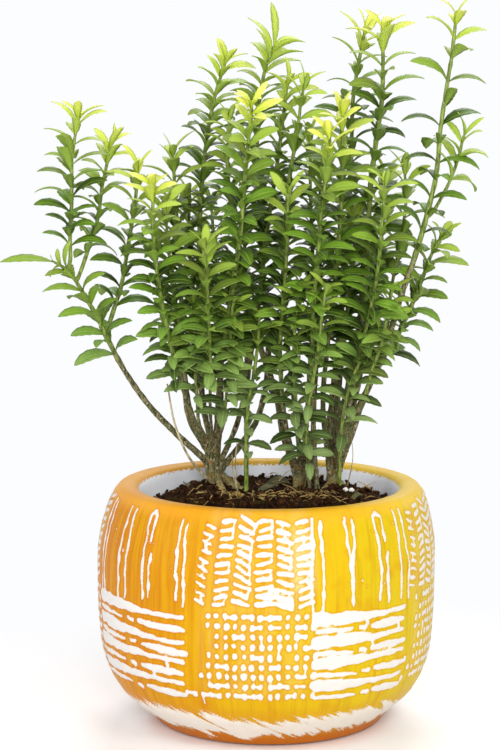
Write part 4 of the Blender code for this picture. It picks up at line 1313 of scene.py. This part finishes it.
def cane_foot(name):
    """The strand by which a cane runs down into its crown; it ends inside the cane, a little thinner."""
    line, cane = lines[name], SHOOTS[name].thickness / 2 * SLIMMER
    walked = distances(line)
    at = {step: [np.interp(step, walked, line[:, axis]) for axis in range(3)] for step in (0, 6, 12, 24)}
    return [(*at[0][:2], IN_SOIL, cane + 0.5), (*at[0], cane + 0.35), (*at[6], cane + 0.25),
            (*at[12], cane + 0.15), (*at[24], cane * 0.8)]


for crown_name in CROWN_AXES:
    strands = [cane_foot(name) for name in SHOOTS if crown_below(name) == crown_name]
    strands += TRUNKS[crown_name] + RUNNING_ROOTS[crown_name]
    crown = fused(crown_name + "_wood", strands, bark.material)
    push_bark(crown, BARK_RELIEF)
    place_piece(crown, "bark", crown_name)

# %% [markdown]
# ## Roots, dry leaves, perlite and twigs
# Thin surface roots creep over the soil round the crowns. They follow a few points in plan, and the height of
# the ground under each point. Dry leaves have fallen between the clumps, dead twigs stand beside them, and
# two white grains of perlite lie on the soil, as in any potting mix. There are too few of each for a scatter,
# so each has its own place in a short table.

# %% Roots over the soil
root_finish = Finish("golden_root", roughness=0.7)
root_tone = mixed(noise(root_finish.place, 420, 3).between(0.35, 0.7), "#54401a", "#bb9a50")
root_finish.set("Base Color", root_tone)
root_finish.bump(noise(root_finish.place, 1500, 3), 0.6, 0.25 * MM)


def creeping(name, plans, material):
    """Roots over the ground; each is (thickness, points in plan)."""
    paths = []
    for thickness, plan in plans:
        line = smooth_curve([(x, y, 0) for x, y in plan], 1.0)
        share = np.linspace(0, 1, len(line))
        weave = 0.8 * np.sin(share * 19 + line[0, 0])
        ground = ground_height(line[:, 0], line[:, 1])
        line[:, 2] = ground + thickness * 0.22 + 0.35 * weave * share
        line[:, 1] += 0.7 * np.sin(share * 11 + line[0, 1]) * share
        radii = thickness / 2 * (1 - 0.55 * share) * (1 + 0.18 * np.sin(share * 31 + 2))
        paths.append((line, radii))
    return tubes(name, paths, 8, material)


SURFACE_ROOTS = {
    "left_surface_root": [
        (2.6, [(-25, 8), (-26, 0), (-21, -10), (-20, -22)]), (1.3, [(-25, -3), (-29, -11), (-31, -21)]),
        (1.1, [(-22, -7), (-14, -13), (-9, -22), (-8, -30)]), (1.0, [(-36, 8), (-41, -2), (-43, -12)])],
    "front_surface_root": [
        (2.2, [(-19, -16), (-8, -19), (4, -17), (10, -15)]), (1.1, [(-14, -14), (-4, -12), (5, -15)]),
        (0.9, [(-10, -20), (0, -24), (8, -22)]), (0.9, [(0, -10), (7, -14), (13, -22)])],
    "middle_surface_root": [
        (1.8, [(10, 6), (12, -3), (17, -11), (15, -18)]), (1.0, [(14, 0), (22, -6), (27, -15)]),
        (1.0, [(28, 0), (24, -9), (26, -20)]), (0.9, [(33, 3), (35, -8), (31, -18)]),
        (0.8, [(20, 2), (18, -9), (21, -21)])],
}
for name, plans in SURFACE_ROOTS.items():
    place_piece(creeping(name + "s", plans, root_finish.material), "root", name)

# %% Four curled dry leaves, three between the clumps and one in front
litter = Finish("dry_leaf", roughness=0.75)
dry_tone = mixed(noise(litter.place, 260, 3).between(0.3, 0.7), "#2c2a13", "#5f5a2e")
litter.set("Base Color", mixed(noise(litter.place, 700, 2).between(0.6, 0.75), dry_tone, "#8f7d45"))
litter.bump(noise(litter.place, 700, 3), 0.6, 0.5 * MM)
LITTER_ROWS, LITTER_SKIN = 13, 0.25  # points along a leaf, and half its thickness
# (x, y, length, width, heading, curl)
LITTER = [(4, 8, 17, 7.5, 0.25, 1.5), (-1, 3, 11, 4.0, 0.5, 0.5), (-44, 8, 9, 3.4, 1.9, 0.5),
          (46, -20, 8, 3.2, 0.6, 0.9)]
litter_verts, litter_faces = [], []
for lx, ly, long, wide, heading, curl in LITTER:
    start = len(litter_verts)
    for skin in (LITTER_SKIN, -LITTER_SKIN):
        for s in np.linspace(-1, 1, LITTER_ROWS):
            for t in np.linspace(-1, 1, 5):
                half = wide / 2 * (1 - s * s) ** 0.6 + 0.05
                px, py = s * long / 2, t * half
                wave = 1.2 * math.sin(2.6 * s + 0.6) + 2.4 * t * t * (half / wide)
                pz = 2.6 + curl * wave + 0.3 * py + skin
                gx = lx + px * math.cos(heading) - py * math.sin(heading)
                gy = ly + px * math.sin(heading) + py * math.cos(heading)
                litter_verts.append((gx, gy, float(ground_height(lx, ly)) + pz))
    size = LITTER_ROWS * 5  # points of one skin
    for i in range(LITTER_ROWS - 1):
        for k in range(4):
            a = start + i * 5 + k
            litter_faces += [(a, a + 5, a + 6, a + 1), (a + size, a + size + 1, a + size + 6, a + size + 5)]
    border = [i * 5 for i in range(LITTER_ROWS)] + [size - 5 + k for k in range(1, 5)]
    border += [i * 5 + 4 for i in range(LITTER_ROWS - 2, -1, -1)] + [3, 2, 1]
    for a, b in zip(border, border[1:] + border[:1]):
        litter_faces.append((start + b, start + a, start + size + a, start + size + b))
dead_leaves = add_mesh("dry_leaves", litter_verts, faces=litter_faces, material=litter.material)
place_piece(outwards(dead_leaves), "foliage")

# %% Fine golden root hairs in front of the clumps
# (x, y, spread, number of hairs)
TUFTS = [(-10, -22, 11, 20), (4, -18, 12, 18), (22, -20, 10, 24), (31, -14, 8, 10), (-24, -14, 8, 6)]
HAIR_RADII = np.array([0.12, 0.2, 0.22, 0.22, 0.2, 0.16, 0.08])
hairs = []
for middle_x, middle_y, spread, count in TUFTS:
    for _ in range(count):
        px, py = rng.normal((middle_x, middle_y), spread / 2)
        heading, bend, long = rng.uniform(-0.6, 3.7), rng.uniform(-0.07, 0.07), rng.uniform(5, 14)
        steps = np.linspace(0, 1, len(HAIR_RADII))
        angle = heading + bend * steps * long
        hx = px + np.cumsum(np.cos(angle)) * long / len(steps)
        hy = py + np.cumsum(np.sin(angle)) * long / len(steps) * 0.7
        hz = ground_height(hx, hy) + 0.5 + rng.uniform(0.2, 2.2) * np.sin(steps * math.pi)
        hairs.append((np.column_stack([hx, hy, hz]), HAIR_RADII * rng.uniform(0.7, 1.3)))
place_piece(tubes("root_hairs", hairs, 4, root_finish.material), "root")

# %% Perlite grains
perlite = Finish("perlite", roughness=0.95)
pores = noise(perlite.place, 1600, 4, 0.7)
perlite.set("Base Color", mixed(pores.between(0.3, 0.5), "#b9b2a4", "#f6f4ee"))
perlite.bump(pores, 0.9, 0.5 * MM)
GRAIN_RADIUS, GRAIN_SINK = 1.35, 0.5
for node in ("perlite_grain_left", "perlite_grain_right"):
    low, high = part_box(node)
    middle = (Vector(low) + Vector(high)) / 2 / MM

    def knobbly(co):
        """A point of the round form, pushed in and out."""
        swell = 1 + 0.28 * cloud_noise.noise(co * 1.6 + middle) + 0.12 * cloud_noise.noise(co * 4.5)
        co = co * swell * GRAIN_RADIUS
        co.z *= 0.82
        return co + middle - Vector((0, 0, GRAIN_SINK))

    grain_name = node.replace("grain", "lump")
    place_piece(rounded_lump(grain_name, 4, knobbly, material=perlite.material), "perlite", node)

# %% Dry twigs that stand among the canes
dry = Finish("dry_wood", roughness=0.9)
dry_grain = noise(stretched(dry.place, 1, 1, 0.2), 900, 3)
dry.set("Base Color", mixed(dry_grain.between(0.35, 0.65), "#80714f", "#c9bd97"))
DRY_TWIGS = [  # (thickness, points from base to tip)
    (1.2, [(-17, 10, 119), (-18, 12, 134), (-17, 13, 146)]),
    (1.7, [(-33, 14, 126), (-43, 6, 140), (-50, 2, 158), (-54, 0, 180)]),
    (0.7, [(-16, 7, 119), (-19, 4, 130), (-19.5, 4, 141)]),
    (0.7, [(42, 8, 122), (45, 4, 139), (44, 3, 152)]),
    (0.8, [(3, 8, 121), (8, 10, 129), (14, 9, 133)]),
]
twigs = [(thickness, smooth_curve(points, 2)) for thickness, points in DRY_TWIGS]
twigs = [(line, np.linspace(thickness / 2, thickness / 4, len(line))) for thickness, line in twigs]
place_piece(tubes("dry_twigs", twigs, 6, dry.material), "dead_wood", "dead_twig")

# %% [markdown]
# ## Leaf forms
# Euonymus leaves are leathery, with a wedge-shaped foot, their widest part beyond the middle, a short tip and
# small teeth along the margin. Young ones stand up against the stem and are nearly straight. Older ones rise,
# arch over and end level or hang. So a few forms, from young to old, are enough for the whole plant. Each is
# one unit long, grows along +X with its upper side up, and is a closed blade of a few dozen faces: an upper
# skin that is grooved along the midrib and bent down at the margins, and a plainer lower skin.

# %% One leaf
STATIONS = np.array([0, 0.07, 0.16, 0.25, 0.34, 0.43, 0.52, 0.61, 0.70, 0.79, 0.87, 0.94, 1.0])
ACROSS = np.array([-1, -0.5, 0, 0.5, 1])
BLADE_WIDTH, THICKNESS = 0.315, 0.014  # of the leaf's length
TEETH = 0.055  # how far they stand out, of the blade's half width
ARCH = 1.15  # above 1, a leaf bends more towards its tip
WIDEST = 0.78  # the smaller, the further out the blade is widest
LEAST_FOOT, LEAST_TIP = 0.03, 0.004  # half widths


def leaf_form(name, start, end, width, fold, twist=0.0):
    """A leaf whose slope goes from `start` to `end` degrees, grooved along its midrib by the angle `fold`."""
    slope = np.radians(start + (end - start) * STATIONS ** ARCH)
    step = np.diff(STATIONS, prepend=0)
    mid = np.column_stack([np.cumsum(step * np.cos(slope)), 0 * slope, np.cumsum(step * np.sin(slope))])
    up = np.column_stack([-np.sin(slope), 0 * slope, np.cos(slope)])
    swell = STATIONS * (1 - STATIONS) ** WIDEST
    half = BLADE_WIDTH / 2 * width * swell / swell.max()
    half = np.maximum(half, np.where(STATIONS < 0.1, LEAST_FOOT, LEAST_TIP))
    toothed = half * (1 + TEETH * np.where(np.arange(len(STATIONS)) % 2, 1, -1) * (STATIONS > 0.2))
    groove = math.sin(fold) * (1 - 0.5 * STATIONS)
    roll = math.radians(twist) * STATIONS
    side = half[:, None] * ACROSS
    side[:, [0, -1]] = toothed[:, None] * ACROSS[[0, -1]]
    lift = 1.8 * half[:, None] * groove[:, None] * (abs(ACROSS) - 0.55 * ACROSS ** 2)
    turn_s, turn_c = np.sin(roll)[:, None], np.cos(roll)[:, None]
    side, lift = side * turn_c - lift * turn_s, side * turn_s + lift * turn_c
    upper = mid[:, None] + side[..., None] * (0, 1, 0) + lift[..., None] * up[:, None]
    keel = mid - THICKNESS * up
    count = len(STATIONS)
    points = np.vstack([upper.reshape(-1, 3), keel])
    top = np.arange(count * 5).reshape(count, 5)
    faces, under = [], []
    for i in range(count - 1):
        faces += [(top[i, k + 1], top[i + 1, k + 1], top[i + 1, k], top[i, k]) for k in range(4)]
        low, high = count * 5 + i, count * 5 + i + 1
        faces += [(top[i, 0], top[i + 1, 0], high, low), (low, high, top[i + 1, 4], top[i, 4])]
        under += [0, 0, 0, 0, 1, 1]
    faces += [(*top[0], count * 5), (count * 6 - 1, *top[-1][::-1])]
    under += [1, 1]
    obj = outwards(add_mesh(name, points / MM, faces=[tuple(int(i) for i in face) for face in faces]))
    along = np.concatenate([np.repeat(STATIONS, 5), STATIONS])
    across = np.concatenate([np.tile((ACROSS + 1) / 2, count), np.full(count, 0.5)])
    corner = [loop.vertex_index for loop in obj.data.loops]
    layer = obj.data.uv_layers.new(name="UVMap")
    layer.data.foreach_set("uv", np.column_stack([across, along])[corner].ravel())
    store(obj, "under", under, "FACE")
    return obj


print("a leaf is crossed at", len(STATIONS), "stations")

# %% All the leaf forms
# From young to old: (slope at the foot and at the tip in degrees, width, fold in radians, twist in degrees)
FORMS = [(76, 50, 0.74, 0.50, 14), (66, 28, 0.86, 0.48, -12), (61, 10, 0.96, 0.46, 8),
         (58, -4, 1.0, 0.44, 14), (55, -16, 1.0, 0.42, -12), (52, -27, 1.0, 0.40, 8),
         (48, -36, 1.0, 0.38, 14), (38, -34, 1.02, 0.32, -12), (30, -48, 1.0, 0.34, 8)]
leaf_shelf = shelf("leaf_forms")
for k, form in enumerate(FORMS):
    put_on(leaf_shelf, leaf_form(f"leaf_{k}", *form))

# %% [markdown]
# ## Leaf pairs along a stem
# The leaves grow in opposite pairs, and each pair is turned a quarter from the one below, so that four ranks
# run up the stem. Pairs crowd together at the tip. All that is a rule, so a Geometry Nodes tree makes it: it
# counts the pairs, samples the stem at each one, and sets two leaves there. The rotation is built in steps
# that each mean something: along the stem, round it to the pair's side, up by the leaf's lift, and then
# rolled a little, so that its upper side faces the window and not the wall behind the plant.

# %% The leaf pairs tree: where the leaves sit
CROWDED_PAIRS, CROWDING = 5, 0.45  # how many pairs at the tip stand closer, and how close the first ones are

PAIR_INPUTS = {"Leaf forms": "collection", "Bare length": 0.05, "Pair distance": 0.0065, "Leaf length": 0.021,
               "First turn": 0.0, "Tip size": 0.6, "Tip glow": 0.5, "Oldness": 0.0, "Seed": 1,
               "Material": "material"}
pair_tree, leafy = geometry_tree("Leaf pairs", PAIR_INPUTS)
route = leafy["Geometry"].node("GeometryNodeMeshToCurve", {}, {0: leafy["Geometry"]})
whole = route.node("GeometryNodeCurveLength", {}, {0: route})
pairs = ((whole - leafy["Bare length"]) / leafy["Pair distance"]).math("FLOOR").math("MAXIMUM", 3)
leaf = route.node("GeometryNodeInputIndex")
pair = (leaf / 2).math("FLOOR")
side = leaf - pair * 2


def chance(low, high, salt):
    """A random number for each leaf."""
    seed = leafy["Seed"] + salt
    return route.node("FunctionNodeRandomValue", {}, {2: low, 3: high, "ID": leaf, "Seed": seed}, 1)


spread = CROWDING + (1 - CROWDING) * (pair / CROWDED_PAIRS).math("MINIMUM", 1)
from_tip = leafy["Pair distance"] * pair * spread + 0.8 * MM
place = route.node("GeometryNodeSampleCurve", {"mode": "LENGTH", "use_all_curves": True},
                   {"Curves": route, "Length": whole - from_tip - chance(0, 0.6 * MM, 7)}, "Position")
points = route.node("GeometryNodePoints", {}, {"Count": pairs * 2, "Position": place})
print("leaf places:", len(pair_tree.nodes), "nodes")

# %% The leaf pairs tree: which way the leaves turn
SHADY_SIDE = (0.0, 0.07, 0.0)  # leaves roll away from here, fully so once they are LIGHT_REACH from it
LIGHT_REACH_X, LIGHT_REACH_Y = 0.3, 0.05
LIGHT_SEEKING = 0.42  # radians
QUARTER = math.pi / 2

along = place.other("Tangent")
upright = along.node("FunctionNodeAxesToRotation", {"primary_axis": "Z", "secondary_axis": "X"},
                     {0: along, 1: (1.0, 0.0, 0.0)})


def turned(rotation, x=0.0, y=0.0, z=0.0):
    """A rotation, turned further about its own axes."""
    by = rotation.node("FunctionNodeEulerToRotation", {}, {0: rotation.vector_of(x, y, z)})
    return rotation.node("FunctionNodeRotateRotation", {"rotation_space": "LOCAL"}, {0: rotation, 1: by})


facing = turned(upright, z=leafy["First turn"] + pair * QUARTER + side * math.pi + chance(-0.3, 0.3, 1))
lifted = turned(facing, y=chance(-0.24, 0.24, 2) + leafy["Oldness"] * 0.2)
edge = lifted.node("FunctionNodeRotateVector", {}, {0: (0.0, 1.0, 0.0), 1: lifted})
outward = stretched(place.vector("SUBTRACT", SHADY_SIDE), 1 / LIGHT_REACH_X, 1 / LIGHT_REACH_Y, 0)
lean = edge.node("ShaderNodeVectorMath", {"operation": "DOT_PRODUCT"}, {0: edge, 1: outward}, "Value")
lean = lean.held(-1, 1) * -LIGHT_SEEKING
posed = turned(lifted, x=lean + chance(-0.22, 0.22, 3))
print("and their turns:", len(pair_tree.nodes), "nodes")

# %% The leaf pairs tree: how large, how old and how yellow they are, with a painted glow of light from behind at the tips
grown = (from_tip / (14 * MM)).math("MINIMUM", 1)
size = leafy["Leaf length"] * (leafy["Tip size"] + (1 - leafy["Tip size"]) * grown) * chance(0.78, 1.18, 4)
scale = size.vector_of(size, size * chance(0.86, 1.16, 5), size)
opening = 1 - ((from_tip + 1.8 * MM) / (-6.4 * MM)).math("EXPONENT")
ageing = 1 - (from_tip / (-70 * MM)).math("EXPONENT")
form = (opening * 2.5 + ageing * 3.5 + leafy["Oldness"] * 1.2 + chance(-1.1, 1.1, 6)).math("ROUND")
form = form.held(0, len(FORMS) - 1)
forms = route.node("GeometryNodeCollectionInfo", {}, {
    "Collection": leafy["Leaf forms"], "Separate Children": True, "Reset Children": True})
leaves = points.node("GeometryNodeInstanceOnPoints", {}, {
    "Points": points, "Instance": forms, "Pick Instance": True, "Instance Index": form, "Rotation": posed,
    "Scale": scale})
youth = (1 - from_tip / (45 * MM)).math("MAXIMUM", 0)
# The yellow of a bud near a tip: partly its own colour and partly a painted glow of light from behind
glowing = (1.15 - from_tip / (17 * MM)).held(0, 1) * leafy["Tip glow"]
for name, number in (("young", youth), ("glow", glowing), ("luck", chance(0, 1, 8))):
    leaves = leaves.node("GeometryNodeStoreNamedAttribute", {"data_type": "FLOAT", "domain": "INSTANCE"},
                         {"Geometry": leaves, "Name": name, "Value": number})
finish_tree(leaves, leafy["Material"])
print("leaf pairs tree:", len(pair_tree.nodes), "nodes")

# %% [markdown]
# ## Canes
# A cane is a tube along the same route as its leaves. It is thick at its foot and thins towards the tip, a
# little lumpy where old leaves have left their scars. Its lower part is bark and its upper part is still
# green, so the tree stores how woody each point is, for the material to read.

# %% The cane tree
STEM_SIDES = 10
KNUCKLES = 150  # lumps to a metre

CANE_INPUTS = {"Base diameter": 4 * MM, "Tip diameter": 1.5 * MM, "Bark length": 0.08, "Relief": 0.5 * MM,
               "Seed": 1, "Material": "material"}
cane_tree, cane = geometry_tree("Cane", CANE_INPUTS)
stem = cane["Geometry"].node("GeometryNodeMeshToCurve", {}, {0: cane["Geometry"]})
gone = stem.node("GeometryNodeSplineParameter")
walked = gone.other("Length")
tip, base = cane["Tip diameter"] / 2, cane["Base diameter"] / 2
knuckles = stem.node("ShaderNodeTexNoise", {"noise_dimensions": "1D"},
                     {"W": walked * KNUCKLES + cane["Seed"] * 3.7, "Scale": 1.0, "Detail": 2.0}, 0)
radius = (tip + (base - tip) * (1 - gone).math("MAXIMUM", 0) ** 0.6) * (0.78 + 0.44 * knuckles)
woody = ((cane["Bark length"] - walked) / (55 * MM) + 0.5).held(0, 1)  # bark fades out over 55 mm
stem = stem.node("GeometryNodeStoreNamedAttribute", {"data_type": "FLOAT", "domain": "POINT"},
                 {"Geometry": stem, "Name": "woody", "Value": woody})
ring = stem.node("GeometryNodeCurvePrimitiveCircle", {}, {0: STEM_SIDES, 4: 1.0})
tube = stem.node("GeometryNodeCurveToMesh", {}, {
    "Curve": stem, "Profile Curve": ring, "Scale": radius, "Fill Caps": True})
where = tube.node("GeometryNodeInputPosition")
bumps = noise(stretched(where, 1, 1, 0.35), 480, 3, 0.6)
rise = (bumps - 0.5) * cane["Relief"] * (0.3 + woody * 1.4)
skin = tube.node("GeometryNodeInputNormal")
push = skin.node("ShaderNodeVectorMath", {"operation": "SCALE"}, {0: skin, 3: rise})
tube = tube.node("GeometryNodeSetPosition", {}, {"Geometry": tube, "Offset": push})
tube = tube.node("GeometryNodeSetShadeSmooth", {}, {"Geometry": tube, "Shade Smooth": True})
finish_tree(tube, cane["Material"])
print("cane tree:", len(cane_tree.nodes), "nodes")

# %% [markdown]
# ## Leaf and stem finishes
# A leaf's colour depends on its place and its luck: dull low down, mid green above and fresh green near the
# tips.
# Painted light is laid over that. Leaves at the back of the clump and below its top are darker as painted
# shade, each leaf is a little darker towards its foot as painted shade, and the pale greyish tones of the low
# leaves are painted sheen. The bud of a growing cane is yellow, and it is made brighter there as a painted
# glow of light from behind. The midrib and the margin are paler, and the underside is pale and matt. The
# leaf's own UV map says how far along and across it each point lies.

# %% Leaf finish
leaf_finish = Finish("euonymus_leaf", roughness=0.45, Specular_IOR_Level=0.18)
on_leaf = Wire(leaf_finish.tree).node("ShaderNodeTexCoord", out="UV")
across, along = (on_leaf.axis(name) for name in "XY")
off_rib = (across - 0.5).math("ABSOLUTE") * 2
luck, young, glow, under = (leaf_finish.value(name) for name in ("luck", "young", "glow", "under"))
y, z = (leaf_finish.place.axis(name) for name in "YZ")
# The along term makes each leaf a little darker towards its foot: painted shade
varied = luck * 0.65 + noise(leaf_finish.place, 170, 3) * 0.3 + along * 0.3
# Painted shade: leaves towards the back of the clump and below its top are darker
painted_back_shade = y.between(-12 * MM, 40 * MM) * z.between(340 * MM, 290 * MM)
# Low leaves are older and duller; their pale greyish tones are painted sheen
low = z.between(235 * MM, 150 * MM) * 0.75
leaf_finish.set("Base Color", layered(
    mixed(varied.between(0.1, 1.1), "#122503", "#698f25"),
    (painted_back_shade * 0.4, "#1a3104"),
    (young * (z.between(225 * MM, 305 * MM) * 0.5 + 0.3), "#cbe25c"),
    (low, mixed(luck, "#253812", "#8d9f69")),
    (off_rib.between(0.78, 1.0) * 0.35, "#b9d062"),  # the margin
    (off_rib.between(0.14, 0.02) * 0.3, "#b2cd5c"),  # the midrib
    (under * 0.6, mixed(low, "#90ab4a", "#8a9b66")),
    # The yellow bud, brightened as a painted glow of light from behind
    (glow.between(0.0, 0.85), mixed(along, "#bfd22c", "#eff07a"))))
leaf_finish.set("Roughness", 0.46 + under * 0.2 + low * 0.1)
veins = (along * 52 - off_rib * 16).math("SINE") * 0.5 + 0.5
leaf_finish.bump(veins * 0.45 + noise(leaf_finish.place, 900, 2) * 0.55, 0.35, 0.35 * MM)

# %% Stem finish
stem_finish = Finish("euonymus_stem", roughness=0.6, Specular_IOR_Level=0.3)
woody = stem_finish.value("woody")
ridge = noise(stretched(stem_finish.place, 1, 1, 0.12), 1000, 3, 0.6)
spots = noise(stem_finish.place, 520, 3, 0.6)
fresh = mixed(ridge.between(0.3, 0.7), "#465718", "#93a64c")
rind = layered(
    mixed(ridge.between(0.34, 0.66), "#292613", "#8a825b"),
    (noise(stem_finish.place, 150, 2).between(0.42, 0.66) * 0.7, "#535f2e"),  # green algae
    (spots.between(0.57, 0.68) * 0.8, "#c0ba9a"),  # pale lichen
    (noise(stem_finish.place, 260, 2).between(0.62, 0.72) * 0.6, "#8b5a33"))  # where bark has flaked off
stem_finish.set("Base Color", mixed((woody + (spots - 0.5) * 0.5).between(0.25, 0.75), fresh, rind))
stem_finish.set("Roughness", 0.5 + woody * 0.35)
stem_finish.bump(ridge * 0.6 + spots * 0.4, 0.6, 0.35 * MM)

# %% [markdown]
# ## The canes of all three clumps
# Each shoot's polyline goes through both trees, one for the stem and one for the leaves. The two results are
# joined into one piece with two finishes, which stands for that shoot's plain solid.

# %% Grow them all
LOW_LEAVES = 0.45  # how much older the leaves of a short low shoot look
LOW_SHOOT = 245  # a shoot whose tip is lower than this is a low one
GREEN_ABOVE = 150  # a shoot that begins higher than this has no bark
ALWAYS_GREEN = ("seedling", "green_sucker")
BARK_ABOVE = 12  # millimetres of bark above the lowest leaves
CLOSER = 0.66  # leaf pairs, against the distances in the table


def host(name, line):
    """A polyline for a tree to read."""
    return add_mesh(name, line, edges=[(i, i + 1) for i in range(len(line) - 1)])


stems, crowns_of_leaves = [], []
for number, (name, line) in enumerate(lines.items()):
    shoot = SHOOTS[name]
    bare = float(np.interp(shoot.leafy_from, line[:, 2], distances(line)))
    green = name in ALWAYS_GREEN or shoot.points[0][2] > GREEN_ABOVE
    stems.append(with_tree(
        cane_tree, host(name + "_stem", line), Base_diameter=shoot.thickness * SLIMMER * MM, Seed=number,
        Bark_length=-1.0 if green else (bare + BARK_ABOVE) * MM, Material=stem_finish.material))
    crowns_of_leaves.append(with_tree(
        pair_tree, host(name + "_leaves", line), Leaf_forms=leaf_shelf, Bare_length=bare * MM,
        Pair_distance=shoot.pair_distance * CLOSER * MM, Leaf_length=shoot.leaf_length * MM,
        First_turn=math.radians(shoot.turn), Tip_size=shoot.tip_size, Tip_glow=shoot.tip_glow,
        Oldness=LOW_LEAVES if line[-1, 2] < LOW_SHOOT else 0.0, Seed=number + 50,
        Material=leaf_finish.material))
made_plain(*stems, *crowns_of_leaves)
print("stems:", len(stems), "- the lowest leaf begins at", min(s.leafy_from for s in SHOOTS.values()), "mm")

# %% One long pale leaf ends the arching cane
long_leaf = leaf_form("long_leaf", 16, -16, 0.8, 0.3)
LONG_LEAF = 29 * MM
tip, heading, roll = lines["left_arch_cane"][-1], math.radians(176), -0.5
turned_out = Matrix.Rotation(heading, 4, "Z") @ Matrix.Rotation(roll, 4, "X")
long_leaf.data.transform(Matrix.Translation(Vector(tip) * MM) @ turned_out @ Matrix.Scale(LONG_LEAF, 4))
for attribute, number in (("young", 0.35), ("glow", 0.1), ("luck", 0.9)):
    store(long_leaf, attribute, np.full(len(long_leaf.data.vertices), number))
long_leaf.data.materials.append(leaf_finish.material)
print("long leaf:", round(LONG_LEAF / MM), "mm")

# %% Each shoot's stem and leaves become one piece
for name, leaves, stem in zip(lines, crowns_of_leaves, stems):
    extra = [long_leaf] if name == "left_arch_cane" else []
    place_piece(joined(name + "_in_leaf", leaves, stem, *extra), "foliage", name)
empty_shelf(leaf_shelf)
